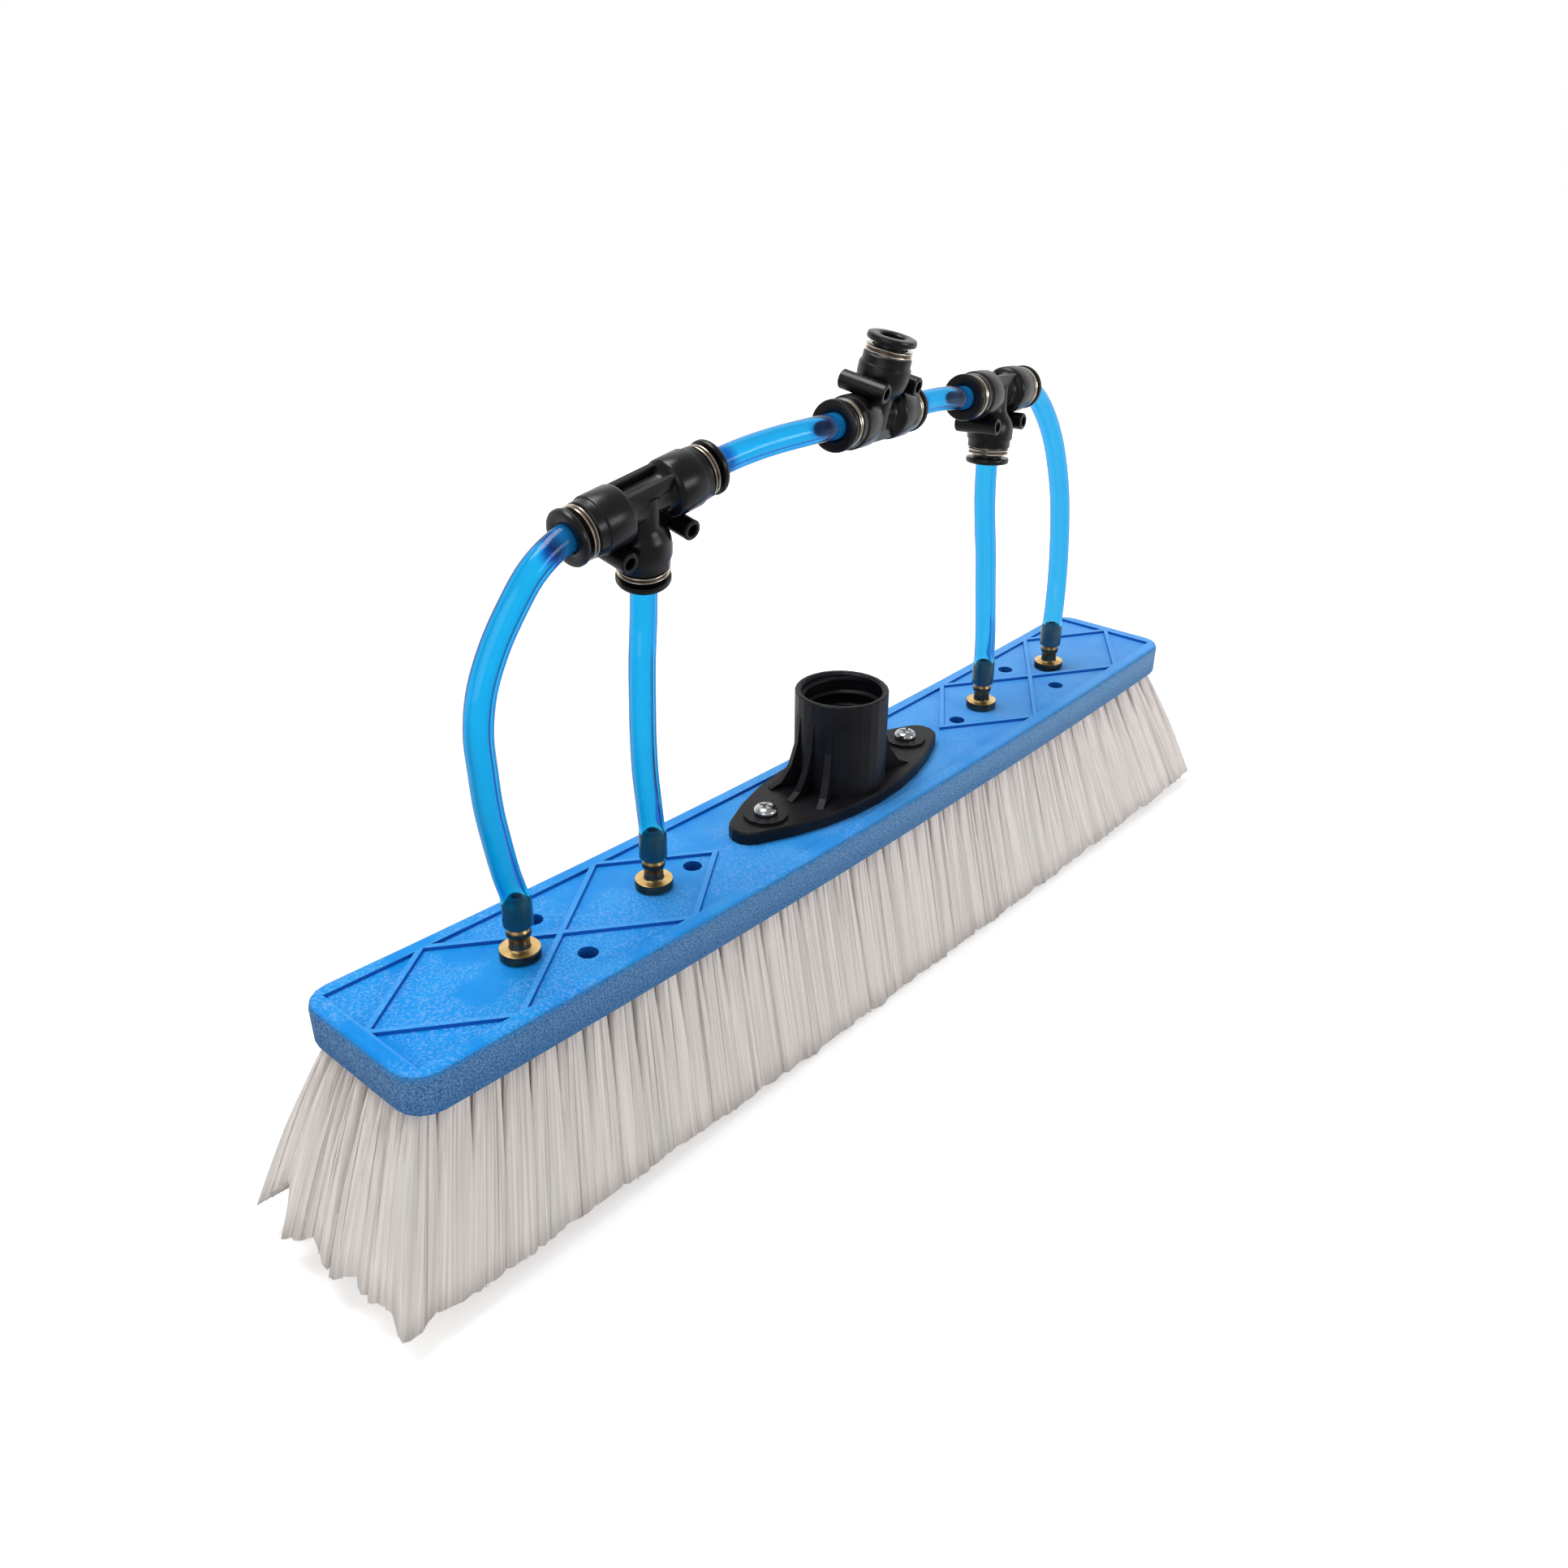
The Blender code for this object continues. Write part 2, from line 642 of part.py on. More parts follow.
def gusset_outline():
    """A concave fin in the plane of its own length (x) and height (y)."""
    start = (SOCKET_RADIUS + SOCKET_BORE_RADIUS) / 2
    foot_height = GUSSET_LIP
    reach = GUSSET_FOOT - SOCKET_RADIUS
    rise = GUSSET_TOP - foot_height
    points = [(start, -FLANGE_DEPTH / 2), (GUSSET_FOOT, -FLANGE_DEPTH / 2)]
    for step in range(GUSSET_STEPS + 1):
        angle = math.pi / 2 * step / GUSSET_STEPS
        points.append((GUSSET_FOOT - reach * math.sin(angle), foot_height + rise * (1 - math.cos(angle))))
    points.append((start, GUSSET_TOP))
    return points


def make_socket(material):
    bm = bmesh.new()
    prism_into(bm, almond_outline(), FLANGE_BOTTOM, FLANGE_TOP)
    middle = (FLANGE_BOTTOM + FLANGE_TOP) / 2
    rim = [edge for edge in bm.edges if all(vert.co.z > middle for vert in edge.verts)]
    bmesh.ops.bevel(bm, geom=rim, offset=FLANGE_EDGE, segments=1, affect="EDGES")
    blank = add_cutter("socket_blank", mesh_from("socket_blank", bm))

    chamfer = SOCKET_MOUTH_CHAMFER
    tube = [
        (0, middle), (SOCKET_RADIUS, middle), (SOCKET_RADIUS, SOCKET_TOP - chamfer / 2),
        (SOCKET_RADIUS - chamfer / 2, SOCKET_TOP), (0, SOCKET_TOP),
    ]
    helpers = [add_cutter("socket_tube", turned_mesh("socket_tube", tube, SOCKET_STEPS))]
    for side in (-1, 1):
        for fin in range(GUSSET_COUNT):
            fan = math.radians(GUSSET_FAN_DEGREES) * (fin - (GUSSET_COUNT - 1) / 2)
            turn = fan if side == 1 else math.pi + fan
            name = f"gusset_{side}_{fin}"
            mesh = prism_mesh(name, gusset_outline(), -GUSSET_WIDTH / 2, GUSSET_WIDTH / 2)
            upright = Matrix.Rotation(math.pi / 2, 4, "X")
            mesh.transform(Matrix.Translation((0, 0, FLANGE_TOP)) @ Matrix.Rotation(turn, 4, "Z") @ upright)
            helpers.append(add_cutter(name, mesh))
        pad = rod_profile(PAD_RADIUS, middle, PAD_TOP)
        place = Matrix.Translation((side * SCREW_X, 0, 0))
        helpers.append(add_cutter(f"pad_{side}", turned_mesh(f"pad_{side}", pad, HOLE_STEPS, place)))
    for helper in helpers:
        combine(blank, helper, "UNION")

    bore = [
        (0, FLANGE_TOP), (SOCKET_BORE_RADIUS, FLANGE_TOP), (SOCKET_BORE_RADIUS, SOCKET_TOP - chamfer),
        (SOCKET_BORE_RADIUS + chamfer, SOCKET_TOP), (SOCKET_BORE_RADIUS + chamfer, SOCKET_TOP + CUT_OVERRUN),
        (0, SOCKET_TOP + CUT_OVERRUN),
    ]
    cutters = [add_cutter("socket_bore", turned_mesh("socket_bore", bore, SOCKET_STEPS))]
    for side in (-1, 1):
        hole = rod_profile(SCREW_SHANK_RADIUS + SEAT_GAP, FLANGE_BOTTOM - CUT_OVERRUN, PAD_TOP + CUT_OVERRUN)
        place = Matrix.Translation((side * SCREW_X, 0, 0))
        name = f"screw_hole_{side}"
        cutters.append(add_cutter(name, turned_mesh(name, hole, BOSS_STEPS, place)))
    for cutter in cutters:
        combine(blank, cutter, "DIFFERENCE")
    mesh = finished_mesh("handle_socket", blank, helpers + cutters)
    mesh.materials.clear()
    return add_object("handle_socket", mesh, material)


def screw_mesh():
    """Pan-head screw about Z, its head seated on height zero."""
    head_low = SEAT_GAP
    head_top = head_low + SCREW_HEAD_HEIGHT
    profile = [
        (0, -SCREW_SHANK_LENGTH),
        (SCREW_SHANK_RADIUS, SCREW_SHANK_RADIUS - SCREW_SHANK_LENGTH),
        (SCREW_SHANK_RADIUS, head_low),
        (SCREW_HEAD_RADIUS, head_low),
    ]
    for step in range(DOME_STEPS + 1):
        angle = math.pi / 2 * step / DOME_STEPS
        radius = SCREW_HEAD_RADIUS * math.cos(angle) if step < DOME_STEPS else 0
        height = head_low + SCREW_HEAD_HEIGHT / 4 + SCREW_HEAD_HEIGHT * math.sin(angle) * 3 / 4
        profile.append((radius, height))
    blank = add_cutter("screw_blank", turned_mesh("screw_blank", profile, SCREW_STEPS))
    helpers = []
    for turn in (0, 1):
        bar = box_outline(CROSS_LENGTH / 2, CROSS_WIDTH / 2)
        mesh = prism_mesh(f"cross_{turn}", bar, head_top - CROSS_DEPTH, head_top + CUT_OVERRUN)
        mesh.transform(Matrix.Rotation(math.pi / 2 * turn, 4, "Z"))
        helpers.append(add_cutter(f"cross_{turn}", mesh))
        combine(blank, helpers[-1], "DIFFERENCE")
    return finished_mesh("socket_screw", blank, helpers)


# Jets

def jet_frame(x):
    """The jet's axis stands square to the cambered panel."""
    lean = -math.atan(camber_slope(x))
    return Matrix.Translation((x, 0, PANEL_TOP + camber_at(x))) @ Matrix.Rotation(lean, 4, "Y")


def jet_profile():
    shank = JET_HOLE_RADIUS - JET_SHANK_CLEARANCE
    top = SEAT_GAP + JET_FLANGE_DEPTH
    bead = top + JET_BEAD_HEIGHT
    barb = top + JET_BARB_HEIGHT
    nose = top + JET_NOSE_HEIGHT
    return [
        (JET_BORE_RADIUS, -JET_SHANK_LENGTH), (shank, -JET_SHANK_LENGTH), (shank, SEAT_GAP),
        (JET_FLANGE_RADIUS, SEAT_GAP), (JET_FLANGE_RADIUS, top), (JET_NECK_RADIUS, top),
        (JET_NECK_RADIUS, bead - JET_BEAD_HALF),
        (JET_BEAD_RADIUS, bead),
        (JET_BARB_RADIUS, bead + JET_BEAD_HALF),
        (JET_BARB_RADIUS, barb), (JET_NOSE_RADIUS, nose), (JET_BORE_RADIUS, nose),
    ]


# Hoses

def tee_frame(place, degrees, stem_down):
    """The tee's frame: bores along X, stem towards +Z of the frame."""
    roll, pitch, yaw = (math.radians(angle) for angle in degrees)
    turn = Matrix.Rotation(yaw, 4, "Z") @ Matrix.Rotation(pitch, 4, "Y") @ Matrix.Rotation(roll, 4, "X")
    if stem_down:
        turn = turn @ Matrix.Rotation(math.pi, 4, "X")
    x, y, rise = place
    return Matrix.Translation((x, y, BLOCK_TOP + rise)) @ turn


def port_matrix(which):
    """A port's frame within its tee: origin at the collar's face, +Z outwards."""
    if which == "stem":
        return Matrix.Translation((0, 0, STEM_REACH))
    side = -1 if which == "left" else 1
    return Matrix.Translation((side * RUN_REACH, 0, 0)) @ Matrix.Rotation(side * math.pi / 2, 4, "Y")


def curve_tangent(before, here, after):
    """Tangent of a centripetal curve through three points, for a segment of unit span."""
    span_in = (here - before).length ** 0.5
    span_out = (after - here).length ** 0.5
    chord = (after - before) / (span_in + span_out)
    return (here - before) / span_in - chord + (after - here) / span_out


def smooth_route(points, leaving, arriving):
    """A smooth curve through the points, with given directions at its two ends."""
    route = []
    last = len(points) - 2
    for index in range(last + 1):
        start, end = points[index:index + 2]
        length = (end - start).length
        root = length**0.5
        leave = leaving * length if index == 0 else curve_tangent(points[index - 1], start, end) * root
        arrive = arriving * length if index == last else curve_tangent(start, end, points[index + 2]) * root
        for step in range(ROUTE_SAMPLES):
            t = step / ROUTE_SAMPLES
            route.append(
                start * (2 * t**3 - 3 * t**2 + 1) + leave * (t**3 - 2 * t**2 + t)
                + end * (3 * t**2 - 2 * t**3) + arrive * (t**3 - t**2)
            )
    route.append(points[-1])
    return route


def even_points(route, step):
    """Points about a step apart along a fine route."""
    lengths = [0.0]
    for first, second in zip(route, route[1:]):
        lengths.append(lengths[-1] + (second - first).length)
    count = max(2, round(lengths[-1] / step))
    points = []
    index = 0
    for number in range(count + 1):
        goal = lengths[-1] * number / count
        while index < len(lengths) - 2 and lengths[index + 1] < goal:
            index += 1
        share = (goal - lengths[index]) / (lengths[index + 1] - lengths[index])
        points.append(route[index].lerp(route[index + 1], share))
    return points


def hose_points(start_frame, end_frame, end_depth, end_run_out, bulge_shares, lean_degrees):
    """Centre line of a hose: its end in the first fitting, its free stretch, its end in the second."""
    outwards = Vector((0, 0, 1))
    leaves = start_frame @ (outwards * HOSE_RUN_OUT)
    arrives = end_frame @ (outwards * end_run_out)
    line = arrives - leaves
    length = line.length
    aside = Vector((0, 1, 0)).cross(line / length).normalized()
    waypoints = [leaves + line * along + aside * (length * out) for along, out in bulge_shares]
    leaving = start_frame.to_3x3() @ outwards
    lean = Matrix.Rotation(math.radians(lean_degrees), 3, "Y")
    arriving = end_frame.to_3x3() @ (lean @ -outwards)
    free = smooth_route([leaves, *waypoints, arrives], leaving, arriving)
    first = start_frame @ (outwards * -HOSE_END)
    last = end_frame @ (outwards * -end_depth)
    return first, even_points(free, HOSE_STEP), last


def make_hose(name, start_frame, end_frame, bulge_shares, material, barb_lean_degrees=None):
    """A hose between two ports, or from a port to a jet's barb when it has a lean there."""
    on_barb = barb_lean_degrees is not None
    lean_degrees = barb_lean_degrees if on_barb else 0
    if on_barb:
        flange_top = SEAT_GAP + JET_FLANGE_DEPTH
        end_depth = -(flange_top + JET_BARB_HEIGHT - JET_BEAD_HALF)
        run_out = flange_top + BARB_GRIP_HEIGHT
    else:
        end_depth = HOSE_END
        run_out = HOSE_RUN_OUT
    start, free, end = hose_points(start_frame, end_frame, end_depth, run_out, bulge_shares, lean_degrees)
    points = [(start, 1.0)] + [(point, 1.0) for point in free] + [(end, 1.0)]
    if on_barb:
        back = (free[-1] - end).normalized()
        points[-1:] = [(end + back * FLARE_LENGTH, FLARE_SCALE), (end, FLARE_SCALE)]
    curve = bpy.data.curves.new(name, "CURVE")
    curve.dimensions = "3D"
    curve.twist_mode = "MINIMUM"
    curve.bevel_depth = HOSE_RADIUS
    curve.bevel_resolution = HOSE_BEVEL_RESOLUTION
    spline = curve.splines.new("POLY")
    spline.points.add(len(points) - 1)
    for knot, (point, radius) in zip(spline.points, points):
        knot.co = (*point, 1.0)
        knot.radius = radius
    hose = add_object(name, curve, material)
    wall = hose.modifiers.new("wall", "SOLIDIFY")
    wall.thickness = HOSE_WALL
    wall.offset = -1.0
    wall.use_even_offset = False
    return hose


# Push-fit ports

def collar_profile():
    """Release collar: a flange outside and a sleeve that reaches past the band to the grip ring."""
    edge = COLLAR_ROUNDING
    return [
        (SLIDE_RADIUS, 0), (COLLAR_RADIUS - edge, 0), (COLLAR_RADIUS, -edge), (COLLAR_RADIUS, -COLLAR_FLANGE),
        (SLEEVE_RADIUS, -COLLAR_FLANGE), (SLEEVE_RADIUS, -LIP_START),
        (SLEEVE_RADIUS + COLLAR_LIP, -LIP_START),
        (SLIDE_RADIUS, -COLLAR_END),
    ]


def band_profile():
    """Metal band: the part that shows, and a sleeve inside the body's mouth."""
    back = -(BAND_FACE + BAND_WIDTH)
    return [
        (BAND_BORE_RADIUS, -BAND_FACE), (BAND_RADIUS, -BAND_FACE),
        (BAND_RADIUS, back), (BAND_SLEEVE_RADIUS, back),
        (BAND_SLEEVE_RADIUS, -BAND_SLEEVE_END), (BAND_BORE_RADIUS, -BAND_SLEEVE_END),
    ]


def collet_profile():
    """Grip ring: a dished washer whose inner edge leans into the fitting."""
    inner = SLIDE_RADIUS
    outer = BAND_SLEEVE_RADIUS
    half = COLLET_THICKNESS / 2
    middle = -COLLET_START - half
    return [(inner, middle), (outer, -COLLET_START), (outer, middle), (inner, -COLLET_END)]


def seal_profile():
    centre = SLIDE_RADIUS + SEAL_CORD_RADIUS
    profile = []
    for step in range(SEAL_CORD_STEPS):
        angle = -math.tau * step / SEAL_CORD_STEPS
        radius = centre + SEAL_CORD_RADIUS * math.cos(angle)
        profile.append((radius, SEAL_CORD_RADIUS * math.sin(angle) - SEAL_CENTRE))
    return profile


def port_meshes(materials):
    shapes = {
        "release_collar": (collar_profile(), PORT_STEPS, "black_plastic"),
        "port_band": (band_profile(), PORT_STEPS, "nickel"),
        "grip_ring": (collet_profile(), RING_STEPS, "steel"),
        "port_seal": (seal_profile(), RING_STEPS, "rubber"),
    }
    meshes = {}
    for name, (profile, steps, slot) in shapes.items():
        meshes[name] = turned_mesh(name, profile, steps)
        meshes[name].materials.append(materials[slot])
    return meshes


# Tee bodies

def run_profile():
    """Half of the run is listed from the waist outwards, then mirrored."""
    mouth = RUN_REACH - PORT_MOUTH
    neck = mouth - BODY_NECK_LENGTH
    half = [(WAIST_RADIUS, WAIST_HALF_LENGTH), (BODY_RADIUS, WAIST_HALF_LENGTH), (BODY_RADIUS, neck)]
    half += [(BODY_NECK_RADIUS, mouth), (0, mouth)]
    return [(radius, -height) for radius, height in reversed(half)] + half


def stem_profile():
    mouth = STEM_REACH - PORT_MOUTH
    neck = mouth - BODY_NECK_LENGTH
    return [
        (0, -FLOW_BORE_RADIUS), (STEM_ROOT_RADIUS, -FLOW_BORE_RADIUS),
        (STEM_ROOT_RADIUS, STEM_SHOULDER_START),
        (STEM_SHOULDER_RADIUS, STEM_SHOULDER_END), (BODY_RADIUS, STEM_BELLY_START),
        (BODY_RADIUS, neck), (BODY_NECK_RADIUS, mouth), (0, mouth),
    ]


def bore_steps(reach, flow_radius):
    """The stepped bore of one port, from the flow bore out past the mouth."""
    stop = reach - HOSE_STOP
    seat = reach - PORT_BORE_END
    outside = reach - PORT_MOUTH + CUT_OVERRUN
    return [
        (flow_radius, stop), (SLIDE_RADIUS, stop), (SLIDE_RADIUS, seat),
        (PORT_BORE_RADIUS, seat), (PORT_BORE_RADIUS, outside), (0, outside),
    ]


def tee_mesh():
    along_run = Matrix.Rotation(math.pi / 2, 4, "Y")
    blank = add_cutter("tee_blank", turned_mesh("tee_blank", run_profile(), BODY_STEPS, along_run))
    helpers = [add_cutter("tee_stem", turned_mesh("tee_stem", stem_profile(), BODY_STEPS))]
    web = prism_mesh("tee_web", box_outline(BOSS_X, WEB_WIDTH / 2), FLOW_BORE_RADIUS / 2, BOSS_Z)
    helpers.append(add_cutter("tee_web", web))
    across = Matrix.Rotation(math.pi / 2, 4, "X")
    for side in (-1, 1):
        rail_y = side * (RAIL_SPREAD - RAIL_WIDTH) / 2
        rail = prism_mesh(
            f"tee_rail_{side}",
            box_outline(WAIST_HALF_LENGTH + CUT_OVERRUN, RAIL_WIDTH / 2, 0, rail_y),
            -RAIL_HEIGHT, -FLOW_BORE_RADIUS / 2,
        )
        helpers.append(add_cutter(f"tee_rail_{side}", rail))
        boss = rod_profile(BOSS_RADIUS, -BOSS_LENGTH / 2, BOSS_LENGTH / 2)
        place = Matrix.Translation((side * BOSS_X, 0, BOSS_Z)) @ across
        name = f"tee_boss_{side}"
        helpers.append(add_cutter(name, turned_mesh(name, boss, BOSS_STEPS, place)))
    for helper in helpers:
        combine(blank, helper, "UNION")

    half_bore = bore_steps(RUN_REACH, FLOW_BORE_RADIUS)
    run_bore = [(radius, -height) for radius, height in reversed(half_bore)] + half_bore
    stem_bore = [(0, 0), (STEM_FLOW_BORE_RADIUS, 0)] + bore_steps(STEM_REACH, STEM_FLOW_BORE_RADIUS)
    cutters = [
        add_cutter("run_bore", turned_mesh("run_bore", run_bore, BODY_STEPS, along_run)),
        add_cutter("stem_bore", turned_mesh("stem_bore", stem_bore, BODY_STEPS)),
    ]
    for side in (-1, 1):
        hole = rod_profile(BOSS_HOLE_RADIUS, -BOSS_LENGTH / 2 - CUT_OVERRUN, BOSS_LENGTH / 2 + CUT_OVERRUN)
        place = Matrix.Translation((side * BOSS_X, 0, BOSS_Z)) @ across
        name = f"boss_hole_{side}"
        cutters.append(add_cutter(name, turned_mesh(name, hole, BOSS_STEPS, place)))
    for cutter in cutters:
        combine(blank, cutter, "DIFFERENCE")
    return finished_mesh("tee_body", blank, helpers + cutters)


def tee_frames():
    left = tee_frame(
        (LEFT_TEE_X, LEFT_TEE_Y, LEFT_TEE_RISE),
        (LEFT_TEE_ROLL_DEGREES, LEFT_TEE_PITCH_DEGREES, LEFT_TEE_YAW_DEGREES),
        stem_down=True,
    )
    centre = tee_frame(
        (CENTRE_TEE_X, CENTRE_TEE_Y, CENTRE_TEE_RISE),
        (CENTRE_TEE_ROLL_DEGREES, CENTRE_TEE_PITCH_DEGREES, CENTRE_TEE_YAW_DEGREES),
        stem_down=False,
    )
    right = tee_frame(
        (RIGHT_TEE_X, RIGHT_TEE_Y, RIGHT_TEE_RISE),
        (RIGHT_TEE_ROLL_DEGREES, RIGHT_TEE_PITCH_DEGREES, RIGHT_TEE_YAW_DEGREES),
        stem_down=True,
    )
    return {"left": left, "centre": centre, "right": right}


def make_tees(frames, materials):
    body = tee_mesh()
    body.materials.clear()
    body.materials.append(materials["black_plastic"])
    parts = port_meshes(materials)
    for tee, frame in frames.items():
        holder = add_empty(f"{tee}_tee_axis", frame)
        add_object(f"{tee}_tee_body", body, materials["black_plastic"], holder)
        for port in ("left", "right", "stem"):
            axis = add_empty(f"{tee}_tee_{port}_port_axis", port_matrix(port), holder)
            for name, mesh in parts.items():
                add_object(f"{tee}_tee_{port}_{name}", mesh, mesh.materials[0], axis)


# Whole brush

def make_materials():
    return {
        "blue_plastic": make_material("blue_plastic", (0.035, 0.22, 0.76), 0.42),
        "black_plastic": make_material("black_plastic", (0.012, 0.012, 0.014), 0.38),
        "bristle": make_material("bristle", (0.78, 0.75, 0.72), 0.55),
        "hose_blue": make_material("hose_blue", (0.01, 0.32, 0.85), 0.2),
        "brass": make_material("brass", (0.75, 0.5, 0.2), 0.3, 1.0),
        "nickel": make_material("nickel", (0.75, 0.69, 0.6), 0.3, 1.0),
        "steel": make_material("steel", (0.7, 0.7, 0.7), 0.25, 1.0),
        "rubber": make_material("rubber", (0.02, 0.02, 0.02), 0.8),
    }


def main():
    clear_scene()
    materials = make_materials()
    make_block(materials["blue_plastic"])
    for index in range(SECTION_COUNT):
        make_bristle_section(index, materials["bristle"])
    make_socket(materials["black_plastic"])
    screw = screw_mesh()
    screw.materials.clear()
    for name, side in (("left", -1), ("right", 1)):
        thing = add_object(f"{name}_socket_screw", screw, materials["steel"])
        thing.location = (side * SCREW_X, 0, PAD_TOP)
    jet = turned_mesh("brass_jet", jet_profile(), JET_STEPS)
    jet_frames = {}
    for name, x in jet_places().items():
        jet_frames[name] = jet_frame(x)
        axis = add_empty(f"{name}_jet_axis", jet_frames[name])
        add_object(f"{name}_jet", jet, materials["brass"], axis)

    tees = tee_frames()
    make_tees(tees, materials)
    left_out = tees["left"] @ port_matrix("left")
    left_in = tees["left"] @ port_matrix("right")
    left_stem = tees["left"] @ port_matrix("stem")
    centre_left = tees["centre"] @ port_matrix("left")
    centre_right = tees["centre"] @ port_matrix("right")
    right_in = tees["right"] @ port_matrix("left")
    right_out = tees["right"] @ port_matrix("right")
    right_stem = tees["right"] @ port_matrix("stem")
    hose = materials["hose_blue"]
    legs = {
        "outer_left": (left_out, OUTER_LEFT_BULGE_SHARES, OUTER_LEFT_LEAN_DEGREES),
        "inner_left": (left_stem, INNER_LEFT_BULGE_SHARES, INNER_LEFT_LEAN_DEGREES),
        "inner_right": (right_stem, INNER_RIGHT_BULGE_SHARES, INNER_RIGHT_LEAN_DEGREES),
        "outer_right": (right_out, OUTER_RIGHT_BULGE_SHARES, OUTER_RIGHT_LEAN_DEGREES),
    }
    for name, (port, bulge_shares, lean_degrees) in legs.items():
        make_hose(f"{name}_hose", port, jet_frames[name], bulge_shares, hose, lean_degrees)
    make_hose("top_left_hose", left_in, centre_left, TOP_LEFT_BULGE_SHARES, hose)
    make_hose("top_right_hose", centre_right, right_in, TOP_RIGHT_BULGE_SHARES, hose)


main()
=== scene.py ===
"""Looks of the solar panel cleaning brush: finishes, full bristles, clear hoses, turned metal, studio."""

import json
import math

import bmesh
import bpy
import numpy as np
from mathutils import Matrix, Vector


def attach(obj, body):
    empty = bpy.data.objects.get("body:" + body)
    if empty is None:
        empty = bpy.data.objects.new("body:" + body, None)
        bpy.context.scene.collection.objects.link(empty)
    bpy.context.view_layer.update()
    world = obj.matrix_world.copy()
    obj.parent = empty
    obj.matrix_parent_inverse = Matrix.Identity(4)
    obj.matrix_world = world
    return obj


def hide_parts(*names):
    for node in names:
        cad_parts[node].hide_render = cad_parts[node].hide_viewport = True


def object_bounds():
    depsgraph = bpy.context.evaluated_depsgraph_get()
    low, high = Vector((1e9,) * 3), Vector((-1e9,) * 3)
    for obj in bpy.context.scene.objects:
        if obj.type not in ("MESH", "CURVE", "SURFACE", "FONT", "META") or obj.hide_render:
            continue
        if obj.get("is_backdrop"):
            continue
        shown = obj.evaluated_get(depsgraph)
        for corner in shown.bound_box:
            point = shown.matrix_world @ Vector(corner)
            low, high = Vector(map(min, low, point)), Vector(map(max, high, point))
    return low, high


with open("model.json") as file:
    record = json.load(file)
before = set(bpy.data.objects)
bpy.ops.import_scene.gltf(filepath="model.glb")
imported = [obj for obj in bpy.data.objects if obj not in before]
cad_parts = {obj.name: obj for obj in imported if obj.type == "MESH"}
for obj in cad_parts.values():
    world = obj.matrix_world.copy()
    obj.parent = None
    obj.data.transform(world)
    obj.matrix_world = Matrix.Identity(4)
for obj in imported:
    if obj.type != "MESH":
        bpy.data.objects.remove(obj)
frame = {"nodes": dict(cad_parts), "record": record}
nodes = frame["nodes"]
cad_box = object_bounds()

# Camera, as fitted to the photo
CAMERA_PLACE = (-0.31754, -0.25185, 0.29101)
CAMERA_LOOK = (0.66325, 0.58125, -0.47143)
CAMERA_ROLL_DEGREES = 0.466
CAMERA_LENS = 29.14

# Brush back, with the places that its bristles and jets follow
BLOCK_LENGTH = 0.397
BLOCK_WIDTH = 0.054
BLOCK_BOTTOM = 0.0625
BLOCK_CORNER = 0.009
PANEL_TOP = 0.0738
CAMBER = 0.004
HALF_LENGTH = BLOCK_LENGTH / 2
HALF_WIDTH = BLOCK_WIDTH / 2

# Bristles: the same tuft grid as the solids
SECTIONS = 6
COLUMNS = 7
ROWS_PER_SIDE = 4
WATER_CHANNEL = 0.005
BACKING_MARGIN = 0.0038
BACKING_DEPTH = 0.002
SECTION_GAP = 0.0003
TUFT_MARGIN = 0.0014
LEFT_SPREAD = 0.57
RIGHT_SPREAD = 0.89
FRONT_FLARE = 0.0127
BACK_FLARE = 0.0152
ROOT_FILL = 0.80
TIP_FILL = 1.12
ROOT_SPREAD = 0.0016
TUFT_SIDES = 24
LEFT_LIFT = 0.0030
ROOT_LIFT = 0.0004
CHANNEL_CLOSING = 0.0022
CORE_RINGS = (0.0, 0.1, 0.22, 0.36, 0.52, 0.68, 0.84, 1.0)
CORE_END_HOLLOW = 0.0008
FILAMENT_RINGS = ((0.0, 1.0), (0.2, 1.0), (0.5, 1.0), (0.8, 0.9), (1.0, 0.6))
FILAMENT_SIDES = 3
FILAMENT_BOW = 0.0002
FILAMENT_TRIM = 0.0007
BACKING_STEPS = 4
BACKING_EDGE = 0.0002
FILAMENTS = 118
FILAMENT_RADIUS = 0.00014
FILAMENT_SEED = 11

# How much shorter the clumps are: at the left end by the Y of their tips, and on the front by the X
END_CLUMP_Y = (
    -0.034, -0.0314, -0.0294, -0.0243, -0.0182, -0.0145, -0.0125, -0.0022, 0.0027,
    0.0077, 0.016, 0.022, 0.0235, 0.026, 0.030, 0.0335, 0.0375,
)
END_CLUMP_RISE = (
    0.0, 0.003, 0.007, 0.0055, 0.003, 0.0035, 0.007, 0.001, 0.0045,
    0.008, 0.003, 0.0005, 0.016, 0.017, 0.012, 0.006, 0.0,
)
FRONT_CLUMP_X = (-0.214, -0.2106, -0.207, -0.204, -0.200, -0.193)
FRONT_CLUMP_RISE = (0.0, 0.0, 0.0012, 0.0010, 0.0008, 0.0)

